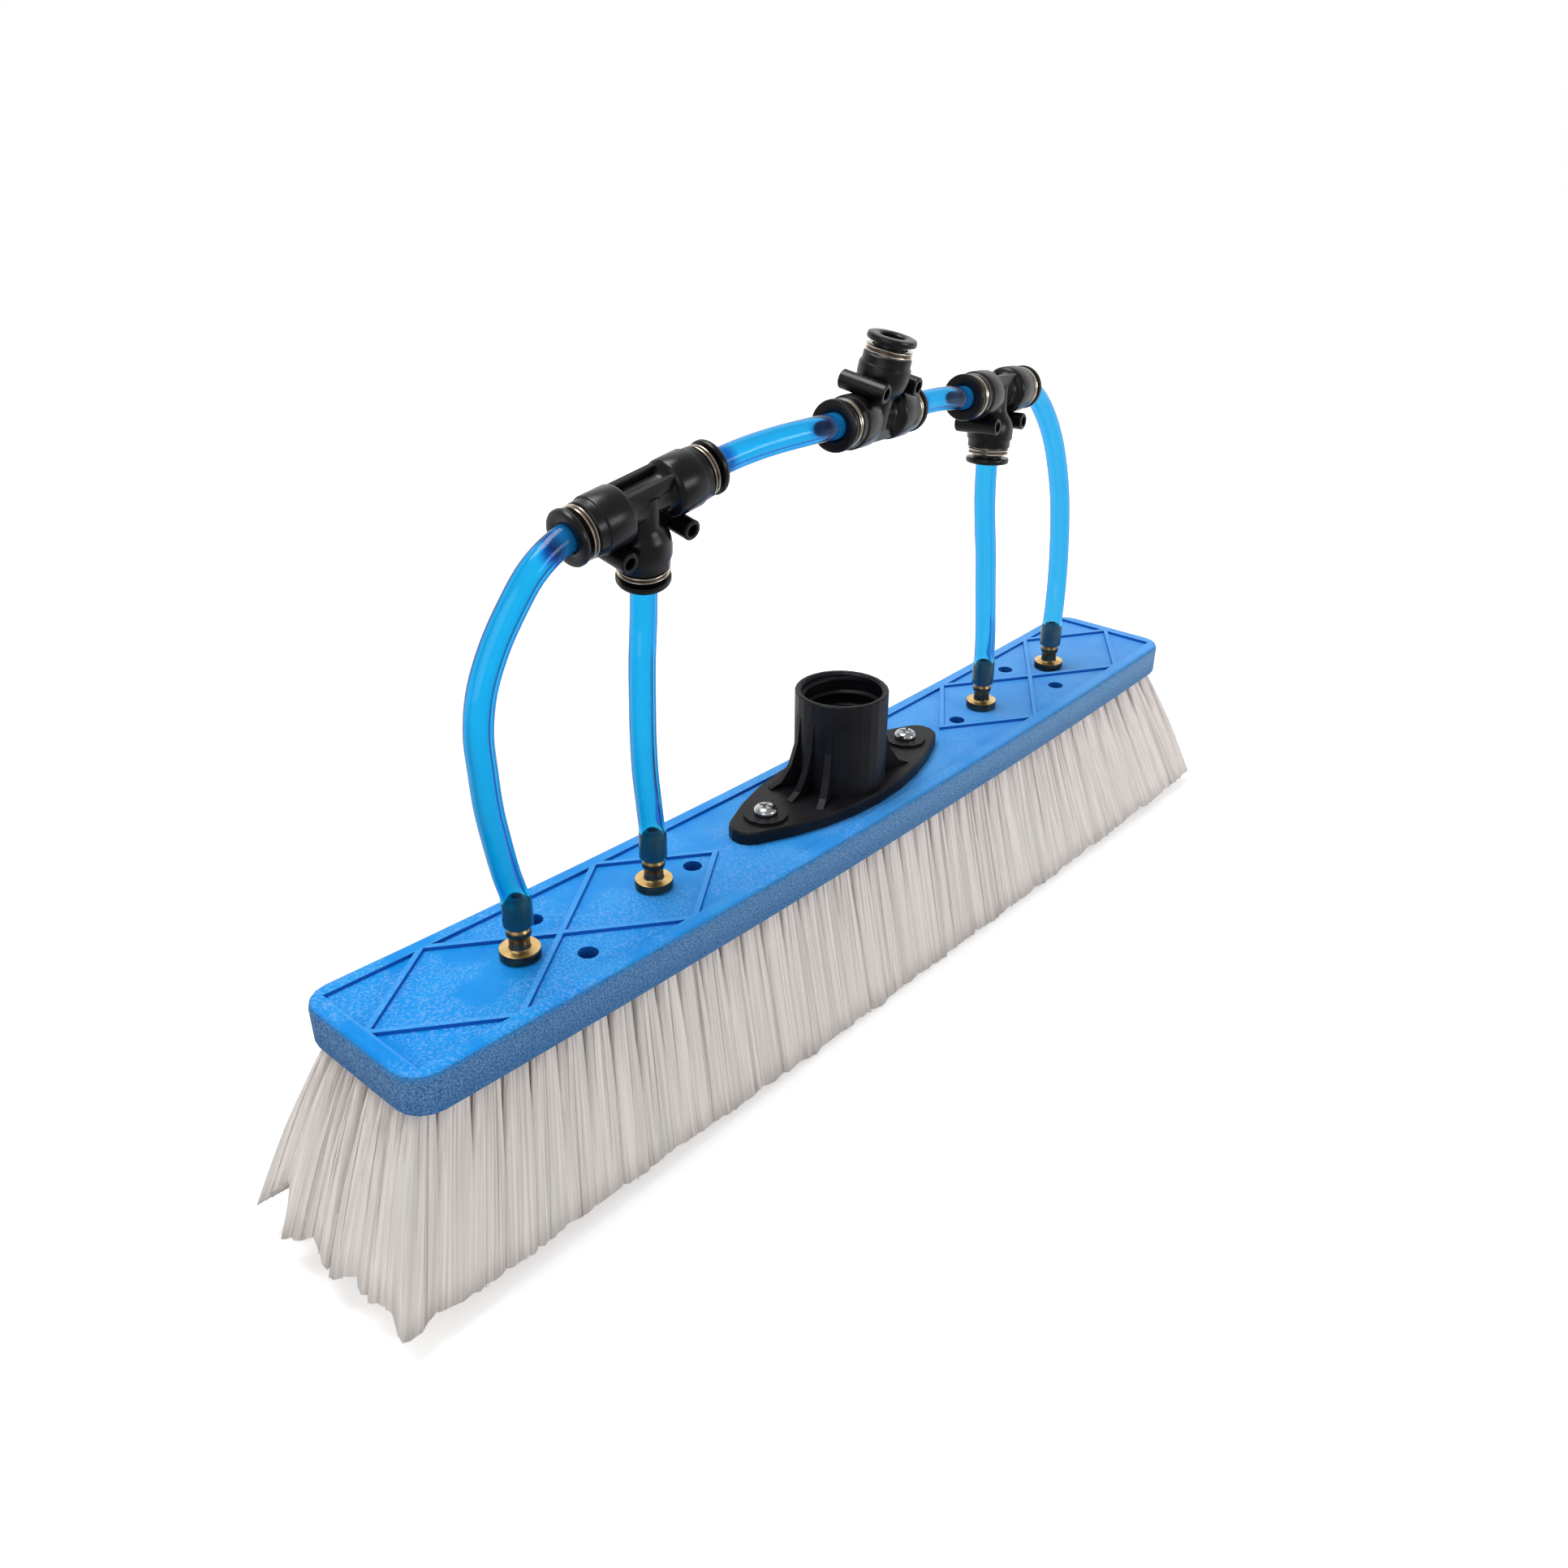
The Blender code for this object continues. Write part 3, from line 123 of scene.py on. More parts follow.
# Hoses: the points of their centre lines, the last one on the barb for the legs
HOSE_RADIUS = 0.004
HOSE_BORE_RADIUS = 0.0025
FLARE_RADIUS = 0.00435
FLARE_BORE_RADIUS = 0.0035
FLARE_STRAIGHT = 0.0072
FLARE_TAPER = 0.0048
HOSE_SIDES = 32
HOSE_STEP = 0.0016
HOSES = {
    "outer_left_hose": (
        (-0.1005, -0.0039, 0.1969), (-0.1201, -0.0034, 0.1933), (-0.1297, -0.0031, 0.1878),
        (-0.1372, -0.0028, 0.1795), (-0.1435, -0.0024, 0.1703), (-0.1482, -0.0021, 0.1602),
        (-0.1503, -0.0017, 0.1492), (-0.1501, -0.0014, 0.1380), (-0.1494, -0.0010, 0.1269),
        (-0.1478, -0.0007, 0.1158), (-0.1458, -0.0003, 0.1048), (-0.1433, 0.0000, 0.0939),
        (-0.1435, 0.0000, 0.0867),
    ),
    "inner_left_hose": (
        (-0.0922, -0.0027, 0.1923), (-0.0885, 0.0017, 0.1731), (-0.0887, 0.0023, 0.1617),
        (-0.0908, 0.0013, 0.1503), (-0.0917, 0.0010, 0.1388), (-0.0924, 0.0007, 0.1273),
        (-0.0925, 0.0005, 0.1157), (-0.0919, 0.0002, 0.1042), (-0.0912, 0.0000, 0.0926),
        (-0.0914, 0.0000, 0.0854),
    ),
    "top_left_hose": (
        (-0.0861, -0.0043, 0.1995), (-0.0664, -0.0048, 0.2031), (-0.0551, -0.0058, 0.2050),
        (-0.0436, -0.0071, 0.2062), (-0.0323, -0.0091, 0.2070), (-0.0208, -0.0094, 0.2069),
        (-0.0012, -0.0055, 0.2055),
    ),
    "top_right_hose": (
        (0.0130, -0.0025, 0.2045), (0.0326, 0.0014, 0.2031), (0.0424, 0.0013, 0.2034),
        (0.0521, 0.0005, 0.2032), (0.0619, 0.0003, 0.2020), (0.0816, 0.0032, 0.2003),
    ),
    "inner_right_hose": (
        (0.0883, 0.0041, 0.1935), (0.0866, 0.0035, 0.1736), (0.0866, 0.0031, 0.1620),
        (0.0876, 0.0026, 0.1505), (0.0889, 0.0020, 0.1390), (0.0897, 0.0015, 0.1274),
        (0.0903, 0.0008, 0.1158), (0.0909, 0.0002, 0.1042), (0.0912, 0.0000, 0.0926),
        (0.0914, 0.0000, 0.0854),
    ),
    "outer_right_hose": (
        (0.0960, 0.0054, 0.1991), (0.1157, 0.0083, 0.1974), (0.1257, 0.0082, 0.1921),
        (0.1329, 0.0069, 0.1832), (0.1385, 0.0060, 0.1732), (0.1423, 0.0051, 0.1624),
        (0.1449, 0.0042, 0.1512), (0.1462, 0.0034, 0.1397), (0.1465, 0.0025, 0.1282),
        (0.1461, 0.0016, 0.1167), (0.1445, 0.0005, 0.1053), (0.1433, 0.0000, 0.0939),
        (0.1435, 0.0000, 0.0867),
    ),
}

# Jets
OUTER_JET_X = 0.143827
INNER_JET_X = 0.091583
JETS = {
    "outer_left_jet": -OUTER_JET_X,
    "inner_left_jet": -INNER_JET_X,
    "inner_right_jet": INNER_JET_X,
    "outer_right_jet": OUTER_JET_X,
}

# Tees: the crossing of the bores, and roll, pitch and yaw in degrees
RUN_REACH = 0.0263
STEM_REACH = 0.0252
TEES = {
    "left": ((-0.093282, -0.0041, 0.1982), (13.0, -10.4, -1.6), True),
    "centre": ((0.0059, -0.004, 0.205), (11.9, 3.9, 11.5), False),
    "right": ((0.088782, 0.0043, 0.1997), (-1.0, 4.9, 8.4), True),
}

# Tee bodies
BODY_RADIUS = 0.0083
BODY_NECK_RADIUS = 0.0077
BODY_NECK_LENGTH = 0.0028
WAIST_RADIUS = 0.005
FLOW_BORE_RADIUS = 0.0027
SLIDE_RADIUS = 0.0043
PORT_BORE_RADIUS = 0.0066
PORT_MOUTH = 0.0058
PORT_BORE_END = 0.0153
HOSE_STOP = 0.0193
RAIL_HEIGHT = 0.0064
RAIL_Y = 0.0038
RAIL_WIDTH = 0.002
RAIL_HALF_LENGTH = 0.0102
RAIL_INSET = 0.001
BOSS_X = 0.0115
BOSS_Z = 0.0106
BOSS_RADIUS = 0.003
BOSS_HOLE_RADIUS = 0.0017
BOSS_LENGTH = 0.016
WEB_WIDTH = 0.0026

# Push-fit ports, measured inwards from the collar's face
COLLAR_RADIUS = 0.0079
COLLAR_BORE_RADIUS = 0.00404
COLLAR_FLANGE = 0.0021
BAND_FACE = 0.0034
BAND_WIDTH = 0.0021
BAND_RADIUS = 0.0076
PORT_SIDES = 64

# Pole socket and its screws
SOCKET_TOP = 0.112502
SOCKET_BORE_RADIUS = 0.0142
THREAD_DEPTH = 0.0012
THREAD_PITCH = 0.005
THREAD_TURNS = 4.5
THREAD_STEPS = 48
THREAD_START = 0.0022
THREAD_HALF_WIDTH = 0.0012
THREAD_ROOT = 0.0004
PAD_TOP = 0.079502
SCREW_X = 0.0395
SCREW_HEAD_RADIUS = 0.0041
SCREW_HEAD_HEIGHT = 0.0026
SCREW_HEAD_LOW = 0.0003
SCREW_HEAD_RIM = 0.0006
SCREW_LENGTH = 0.0118
SCREW_RADIUS = 0.0019
SCREW_POINT = 0.0099
CROSS_TURN = 0.35

# Floor of the studio
FLOOR_HALF_SIZE = 6.0
FLOOR_GAP = 0.0005


# Node helpers

def new_material(name):
    material = bpy.data.materials.new(name)
    material.use_nodes = True
    tree = material.node_tree
    return material, tree, tree.nodes["Principled BSDF"]


def set_socket(tree, socket, value):
    if isinstance(value, bpy.types.NodeSocket):
        tree.links.new(value, socket)
    else:
        socket.default_value = value


def add_node(tree, kind, inputs=None, **settings):
    """A shader node with its settings, and its inputs as values or as links from other nodes' outputs."""
    made = tree.nodes.new(kind)
    for name, value in settings.items():
        setattr(made, name, value)
    for name, value in (inputs or {}).items():
        set_socket(tree, made.inputs[name], value)
    return made


def math_node(tree, operation, first, second=0.0):
    made = tree.nodes.new("ShaderNodeMath")
    made.operation = operation
    for socket, value in zip(made.inputs, (first, second)):
        set_socket(tree, socket, value)
    return made.outputs["Value"]


def axes(tree, kind="ShaderNodeTexCoord", output="Object"):
    """X, Y and Z of a place or a direction, as three outputs."""
    vector = add_node(tree, kind).outputs[output]
    return add_node(tree, "ShaderNodeSeparateXYZ", {"Vector": vector}).outputs


def noise(tree, scale, detail=2.0, stretch=(1, 1, 1), place=None):
    """Noise in the object's own metres; stretch squeezes it along an axis."""
    if place is None:
        place = add_node(tree, "ShaderNodeTexCoord").outputs["Object"]
    if stretch != (1, 1, 1):
        place = add_node(tree, "ShaderNodeMapping", {"Vector": place, "Scale": stretch}).outputs["Vector"]
    made = add_node(tree, "ShaderNodeTexNoise", {"Vector": place, "Scale": scale, "Detail": detail})
    return made.outputs["Fac"]


def remap(tree, value, low, high, to_low=0.0, to_high=1.0):
    inputs = {"Value": value, "From Min": low, "From Max": high, "To Min": to_low, "To Max": to_high}
    return add_node(tree, "ShaderNodeMapRange", inputs).outputs["Result"]


def mix_colour(tree, share, first, second):
    made = tree.nodes.new("ShaderNodeMix")
    made.data_type = "RGBA"
    for name, value in (("Factor", share), ("A", first), ("B", second)):
        socket = next(s for s in made.inputs if s.name == name and s.enabled)
        set_socket(tree, socket, (*value, 1.0) if isinstance(value, tuple) else value)
    return next(s for s in made.outputs if s.enabled)


def bump(tree, height, distance, strength=1.0):
    inputs = {"Height": height, "Distance": distance, "Strength": strength}
    return add_node(tree, "ShaderNodeBump", inputs).outputs["Normal"]


def upwards(tree):
    """How far a face looks up: 1 on top, 0 on the sides, below 0 underneath."""
    return axes(tree, "ShaderNodeNewGeometry", "Normal")["Z"]


def height_over_panel(tree):
    x, _, z = (axes(tree)[axis] for axis in "XYZ")
    curve = math_node(tree, "MULTIPLY", math_node(tree, "MULTIPLY", x, x), CAMBER / HALF_LENGTH**2)
    return math_node(tree, "SUBTRACT", math_node(tree, "SUBTRACT", z, curve), PANEL_TOP)


def depth_in_outline(tree):
    """How far a place lies inside the rounded outline of the brush back."""
    place = axes(tree)
    beyond = []
    for axis, half in (("X", HALF_LENGTH), ("Y", HALF_WIDTH)):
        away = math_node(tree, "SUBTRACT", math_node(tree, "ABSOLUTE", place[axis]), half - BLOCK_CORNER)
        away = math_node(tree, "MAXIMUM", away, 0.0)
        beyond.append(math_node(tree, "MULTIPLY", away, away))
    reach = math_node(tree, "SQRT", math_node(tree, "ADD", *beyond))
    return math_node(tree, "SUBTRACT", BLOCK_CORNER, reach)


# Finishes

def blue_plastic():
    """Moulded polypropylene: smooth and sandy patches on top, a spark finish on the flanks that is darker
    partly as painted shade; painted glare to the right, a painted highlight on the rib tops and painted shade
    on the walls and edges.
    """
    material, tree, shader = new_material("blue_plastic")
    depth = depth_in_outline(tree)
    over_panel = height_over_panel(tree)
    # Painted glare: towards the right the top turns lighter and greyer, and the flanks lighter.
    to_right = remap(tree, axes(tree)["X"], -0.17, 0.16)
    side = remap(tree, upwards(tree), 0.90, 0.45)
    flank = math_node(tree, "MULTIPLY", side, remap(tree, depth, 0.0026, 0.0014))
    # Painted shade: the walls of the ribs and the rim get a darker blue.
    wall_shade = math_node(tree, "SUBTRACT", side, flank)
    raised = remap(tree, over_panel, 0.0006, 0.0010)
    # Painted highlight: the tops of the lattice ribs are lightened.
    rib = math_node(tree, "MULTIPLY", raised, remap(tree, depth, 0.0045, 0.0050))
    sandy = remap(tree, noise(tree, 30.0, 3.0), 0.47, 0.53, 0.08, 0.75)
    cloud = noise(tree, 60.0, 4.0)
    grain = noise(tree, 1150.0, 2.0)
    speck = noise(tree, 1700.0, 3.0)

    vivid = mix_colour(tree, remap(tree, cloud, 0.35, 0.68), (0.001, 0.265, 0.79), (0.010, 0.335, 0.85))
    painted_glare_tone = mix_colour(tree, remap(tree, cloud, 0.35, 0.68), (0.080, 0.36, 0.87), (0.125, 0.425, 0.93))
    top = mix_colour(tree, to_right, vivid, painted_glare_tone)
    flecks = math_node(tree, "MULTIPLY", remap(tree, grain, 0.46, 0.66), sandy)
    top = mix_colour(tree, flecks, top, (0.16, 0.42, 0.88))
    top = mix_colour(tree, math_node(tree, "MULTIPLY", rib, 0.35), top, (0.10, 0.42, 0.90))
    top = mix_colour(tree, wall_shade, top, (0.008, 0.12, 0.48))
    # Painted shade: the top darkens along the rounded outer edge, where it turns down.
    top = mix_colour(tree, remap(tree, depth, 0.0016, 0.0001, 0.0, 0.6), top, (0.008, 0.18, 0.50))
    # The flank colours are lighter towards the right: the same painted glare.
    dark = mix_colour(tree, to_right, (0.020, 0.112, 0.300), (0.060, 0.21, 0.45))
    light = mix_colour(tree, to_right, (0.140, 0.285, 0.50), (0.210, 0.39, 0.64))
    # The flanks' spark finish is real; its darker colours are partly painted shade.
    sparks = mix_colour(tree, remap(tree, speck, 0.38, 0.64), dark, light)
    # Darker towards the flank's lower edge.
    lower = remap(tree, over_panel, -0.0045, -0.0095, 0.0, 0.35)
    sparks = mix_colour(tree, lower, sparks, (0.010, 0.085, 0.26))
    # Painted light: near the top, the flank turns a mid blue between the top and the flank, where the edge
    # rounds over.
    sparks = mix_colour(tree, remap(tree, over_panel, -0.0010, 0.0010, 0.0, 0.8), sparks, (0.010, 0.19, 0.52))
    colour = mix_colour(tree, flank, top, sparks)
    tree.links.new(colour, shader.inputs["Base Color"])
    rough = remap(tree, sandy, 0.0, 1.0, 0.38, 0.52)
    rough = math_node(tree, "ADD", rough, math_node(tree, "MULTIPLY", flank, 0.1))
    tree.links.new(rough, shader.inputs["Roughness"])
    coarse = math_node(tree, "ADD", flank, math_node(tree, "MULTIPLY", sandy, 0.4))
    rise = math_node(tree, "MULTIPLY", speck, coarse)
    tree.links.new(bump(tree, rise, 0.00016, 0.5), shader.inputs["Normal"])
    shader.inputs["Specular IOR Level"].default_value = 0.12
    return material


def black_plastic(name, low, high, rough_low, rough_high, grain_scale, grain_height, gloss):
    """Black moulding with a faint grain and soft smudges in its gloss."""
    material, tree, shader = new_material(name)
    grain = noise(tree, grain_scale, 2.0)
    smudge = noise(tree, 70.0, 4.0)
    tree.links.new(mix_colour(tree, remap(tree, smudge, 0.35, 0.7), low, high), shader.inputs["Base Color"])
    tree.links.new(remap(tree, smudge, 0.35, 0.7, rough_low, rough_high), shader.inputs["Roughness"])
    tree.links.new(bump(tree, grain, grain_height, 0.6), shader.inputs["Normal"])
    shader.inputs["Specular IOR Level"].default_value = gloss
    return material


def metal(name, dark, light, rough_low, rough_high, lines, line_height):
    """Turned metal: fine tool lines in the bump, a faint tarnish in the colour and gloss."""
    material, tree, shader = new_material(name)
    tarnish = noise(tree, 240.0, 4.0)
    turned_lines = noise(tree, lines, 1.0, (0.15, 0.15, 1.0))
    colour = mix_colour(tree, remap(tree, tarnish, 0.35, 0.68), dark, light)
    tree.links.new(colour, shader.inputs["Base Color"])
    tree.links.new(remap(tree, tarnish, 0.35, 0.7, rough_high, rough_low), shader.inputs["Roughness"])
    tree.links.new(bump(tree, turned_lines, line_height, 0.5), shader.inputs["Normal"])
    shader.inputs["Metallic"].default_value = 1.0
    return material


def brass():
    """Turned brass: golden where it looks up and a dark brown painted shade on its sides, both with a faint
    tarnish, grey inside the hose.
    """
    material, tree, shader = new_material("brass")
    tarnish = noise(tree, 240.0, 4.0)
    turned_lines = noise(tree, 5200.0, 1.0, (0.15, 0.15, 1.0))
    gold = mix_colour(tree, remap(tree, tarnish, 0.35, 0.68), (0.82, 0.52, 0.19), (1.0, 0.72, 0.33))
    shaded_side = mix_colour(tree, remap(tree, tarnish, 0.35, 0.68), (0.045, 0.05, 0.045), (0.15, 0.12, 0.075))
    # Painted shade: the brass is golden only where it looks up, and dark brown where it faces sideways or
    # down.
    bright = remap(tree, upwards(tree), 0.30, 0.80)
    covered = remap(tree, height_over_panel(tree), 0.0102, 0.0108)
    colour = mix_colour(tree, bright, shaded_side, gold)
    colour = mix_colour(tree, covered, colour, (0.34, 0.24, 0.25))
    tree.links.new(colour, shader.inputs["Base Color"])
    rough = remap(tree, tarnish, 0.35, 0.7, 0.36, 0.18)
    rough = math_node(tree, "ADD", rough, math_node(tree, "MULTIPLY", covered, 0.3))
    tree.links.new(rough, shader.inputs["Roughness"])
    tree.links.new(bump(tree, turned_lines, 0.00002, 0.5), shader.inputs["Normal"])
    shader.inputs["Metallic"].default_value = 1.0
    return material


def port_shade(tree):
    """1 where a hose has just left a run port, in the deep shade of the fitting, 0 further on."""
    place = add_node(tree, "ShaderNodeTexCoord").outputs["Object"]
    nearest = None
    for middle, _, _ in TEES.values():
        gap = add_node(tree, "ShaderNodeVectorMath", {0: place, 1: middle}, operation="DISTANCE")
        away = gap.outputs["Value"]
        nearest = away if nearest is None else math_node(tree, "MINIMUM", nearest, away)
    beside = remap(tree, axes(tree)["Z"], 0.178, 0.182)
    return math_node(tree, "MULTIPLY", remap(tree, nearest, 0.0345, 0.0285), beside)


def clear_hose():
    """Clear blue polyurethane: deeper through more of it, and at a port a painted deep blue shade, less
    clear.
    """
    material, tree, shader = new_material("clear_blue_hose")
    draw = noise(tree, 260.0, 2.0, (1.0, 1.0, 0.12))
    haze = noise(tree, 120.0, 3.0)
    to_right = remap(tree, axes(tree)["X"], -0.15, 0.15)
    low = mix_colour(tree, to_right, (0.26, 0.855, 0.99), (0.94, 0.895, 1.0))
    high = mix_colour(tree, to_right, (0.36, 0.895, 1.0), (1.0, 0.94, 1.0))
    colour = mix_colour(tree, remap(tree, haze, 0.35, 0.7), low, high)
    shade = port_shade(tree)
    # Painted shade: deep blue and less clear where a hose leaves a port.
    colour = mix_colour(tree, remap(tree, shade, 0.0, 0.5), colour, (0.010, 0.24, 0.62))
    tree.links.new(colour, shader.inputs["Base Color"])
    tree.links.new(remap(tree, shade, 0.3, 0.9, 1.0, 0.45), shader.inputs["Transmission Weight"])
    tree.links.new(remap(tree, haze, 0.35, 0.7, 0.05, 0.13), shader.inputs["Roughness"])
    tree.links.new(bump(tree, draw, 0.00006, 0.35), shader.inputs["Normal"])
    shader.inputs["IOR"].default_value = 1.42
    shader.inputs["Specular IOR Level"].default_value = 0.1
    tint = {"Color": (0.2, 0.87, 0.985, 1.0), "Density": 1250.0}
    depth = add_node(tree, "ShaderNodeVolumeAbsorption", tint)
    tree.links.new(depth.outputs["Volume"], tree.nodes["Material Output"].inputs["Volume"])
    return material


def strand_space(tree):
    """The place of a bristle with its spread taken out, so that a streak follows its strand."""
    place = axes(tree)
    down = remap(tree, height_over_panel(tree), BLOCK_BOTTOM - PANEL_TOP, 0.0005 - PANEL_TOP)
    to_right = math_node(tree, "GREATER_THAN", place["X"])
    lean = math_node(tree, "MULTIPLY", down, remap(tree, to_right, 0.0, 1.0, LEFT_SPREAD, RIGHT_SPREAD))
    along = math_node(tree, "ABSOLUTE", place["X"])
    root = along
    for _ in range(3):
        stretch = math_node(tree, "ADD", 1.0, math_node(tree, "MULTIPLY", lean, root))
        root = math_node(tree, "DIVIDE", along, stretch)
    x = math_node(tree, "MULTIPLY", root, math_node(tree, "SIGN", place["X"]))
    inwards = math_node(tree, "MULTIPLY", down, 0.0044)
    out = math_node(tree, "ADD", math_node(tree, "ABSOLUTE", place["Y"]), inwards)
    stretch = math_node(tree, "ADD", 1.0, math_node(tree, "MULTIPLY", down, 0.8))
    out = math_node(tree, "DIVIDE", out, stretch)
    y = math_node(tree, "MULTIPLY", out, math_node(tree, "SIGN", place["Y"]))
    return add_node(tree, "ShaderNodeCombineXYZ", {"X": x, "Y": y, "Z": place["Z"]}).outputs["Vector"]


def bristle_fibre():
    """Soft off-white filaments, with painted shade between the clumps, darker and greener, and painted light
    that brightens them towards the right.
    """
    material, tree, shader = new_material("bristle_fibre")
    place = strand_space(tree)
    strand = noise(tree, 1500.0, 2.0, (1.0, 1.0, 0.006), place)
    clump = noise(tree, 240.0, 3.0, (1.0, 1.0, 0.02), place)
    # Painted light: the filaments are darker on the left and brighter on the right.
    to_right = remap(tree, axes(tree)["X"], -0.19, 0.19)
    dark = mix_colour(tree, to_right, (0.645, 0.59, 0.555), (0.745, 0.685, 0.655))
    light = mix_colour(tree, to_right, (0.805, 0.745, 0.71), (0.915, 0.85, 0.82))
    colour = mix_colour(tree, remap(tree, strand, 0.34, 0.62), dark, light)
    # Painted shade: darker and greener in streaks between the clumps.
    shade = math_node(tree, "MULTIPLY", remap(tree, clump, 0.48, 0.34), 0.55)
    tree.links.new(mix_colour(tree, shade, colour, (0.52, 0.525, 0.485)), shader.inputs["Base Color"])
    tree.links.new(remap(tree, strand, 0.3, 0.7, 0.5, 0.7), shader.inputs["Roughness"])
    tree.links.new(bump(tree, strand, 0.00025, 0.5), shader.inputs["Normal"])
    shader.inputs["Specular IOR Level"].default_value = 0.25
    return material


def rubber():
    material, tree, shader = new_material("seal_rubber")
    bloom = noise(tree, 400.0, 3.0)
    colour = mix_colour(tree, remap(tree, bloom, 0.3, 0.7), (0.010, 0.010, 0.011), (0.03, 0.03, 0.032))
    tree.links.new(colour, shader.inputs["Base Color"])
    tree.links.new(remap(tree, bloom, 0.3, 0.7, 0.55, 0.8), shader.inputs["Roughness"])
    tree.links.new(bump(tree, bloom, 0.00003, 0.5), shader.inputs["Normal"])
    return material


finishes = {
    "blue_plastic": blue_plastic(),
    "black_plastic": black_plastic(
        "black_plastic", (0.0045, 0.0045, 0.0062), (0.0105, 0.0105, 0.0140),
        0.36, 0.50, 1300.0, 0.00005, 0.22,
    ),
    "fitting_plastic": black_plastic(
        "fitting_plastic", (0.0027, 0.0025, 0.0036), (0.0055, 0.0050, 0.0068),
        0.24, 0.34, 900.0, 0.00002, 0.42,
    ),
    "bristle": bristle_fibre(),
    "hose_blue": clear_hose(),
    "brass": brass(),
    "nickel": metal("nickel", (0.60, 0.53, 0.45), (0.90, 0.82, 0.72), 0.16, 0.30, 6500.0, 0.00001),
    # Darker nickel for the groove floors of the bands: painted shade.
    "nickel_groove_shade": metal(
        "nickel_groove_shade", (0.10, 0.075, 0.055), (0.22, 0.17, 0.13), 0.3, 0.45, 6500.0, 0.00001,
    ),
    "grip_steel": metal("grip_steel", (0.42, 0.42, 0.43), (0.70, 0.70, 0.71), 0.25, 0.4, 5000.0, 0.00001),
    "screw_steel": metal("screw_steel", (0.50, 0.50, 0.51), (0.82, 0.82, 0.82), 0.10, 0.24, 5200.0, 0.00001),
    "rubber": rubber(),
}


# Mesh helpers

def add_piece(name, mesh, slot, body, replaced=(), finish=None):
    piece = bpy.data.objects.new(name, mesh)
    bpy.context.scene.collection.objects.link(piece)
    mesh.materials.append(finishes[finish or slot])
    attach(piece, body)
    if replaced:
        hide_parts(*replaced)
    return piece


def smooth(mesh, degrees=35.0):
    for face in mesh.polygons:
        face.use_smooth = True
    mesh.set_sharp_from_angle(angle=math.radians(degrees))


def mesh_from(name, bm, degrees=35.0):
    bmesh.ops.recalc_face_normals(bm, faces=bm.faces)
    mesh = bpy.data.meshes.new(name)
    bm.to_mesh(mesh)
    bm.free()
    smooth(mesh, degrees)
    return mesh


def turned(name, profile, sides, place=Matrix.Identity(4)):
    """Turns (radius, height) points about Z. A point on the axis closes to a cap, else the profile closes."""
    bm = bmesh.new()
    rings = []
    for radius, height in profile:
        if radius == 0:
            rings.append([bm.verts.new(place @ Vector((0, 0, height)))])
            continue
        ring = []
        for step in range(sides):
            angle = math.tau * step / sides
            point = Vector((radius * math.cos(angle), radius * math.sin(angle), height))
            ring.append(bm.verts.new(place @ point))
        rings.append(ring)
    closed = len(rings[0]) > 1
    pairs = list(zip(rings, rings[1:] + rings[:1])) if closed else list(zip(rings, rings[1:]))
    for low, high in pairs:
        for step in range(sides):
            after = (step + 1) % sides
            corners = [low[step % len(low)], low[after % len(low)]]
            corners += [high[after % len(high)], high[step % len(high)]]
            unique = list(dict.fromkeys(corners))
            if len(unique) > 2:
                bm.faces.new(unique)
    return mesh_from(name, bm)


def box(name, low, high, edge):
    """A box between two corners, with its edges rounded off."""
    bm = bmesh.new()
    bmesh.ops.create_cube(bm, size=1.0)
    for vert in bm.verts:
        for axis in range(3):
            vert.co[axis] = high[axis] if vert.co[axis] > 0 else low[axis]
    bmesh.ops.bevel(bm, geom=bm.edges, offset=edge, segments=2, profile=0.5, affect="EDGES")
    return mesh_from(name, bm)


def carved(name, blank, joined, cut):
    """One mesh from a blank, the meshes joined to it and the meshes cut from it."""
    things = []
    for index, mesh in enumerate((blank, *joined, *cut)):
        thing = bpy.data.objects.new(f"{name}_{index}", mesh)
        bpy.context.scene.collection.objects.link(thing)
        things.append(thing)
    for index, thing in enumerate(things[1:]):
        step = things[0].modifiers.new("carve", "BOOLEAN")
        step.object = thing
        step.operation = "UNION" if index < len(joined) else "DIFFERENCE"
        step.solver = "EXACT"
    bpy.context.view_layer.update()
    graph = bpy.context.evaluated_depsgraph_get()
    made = bpy.data.meshes.new_from_object(things[0].evaluated_get(graph))
    made.name = name
    made.materials.clear()
    for thing in things:
        bpy.data.objects.remove(thing)
    smooth(made, 32.0)
    return made


def camber_at(x):
    return CAMBER * (x / HALF_LENGTH) ** 2


# Carried-over solids get their finish

def dress_solids():
    for entry in frame["record"]["subparts"]:
        node = nodes[entry["node"]]
        node.data.materials.clear()
        node.data.materials.append(finishes[entry["material_slot"]])


# Bristles

def ease(value, low, high):
    share = np.clip((value - low) / (high - low), 0, 1)
    return share * share * (3 - 2 * share)


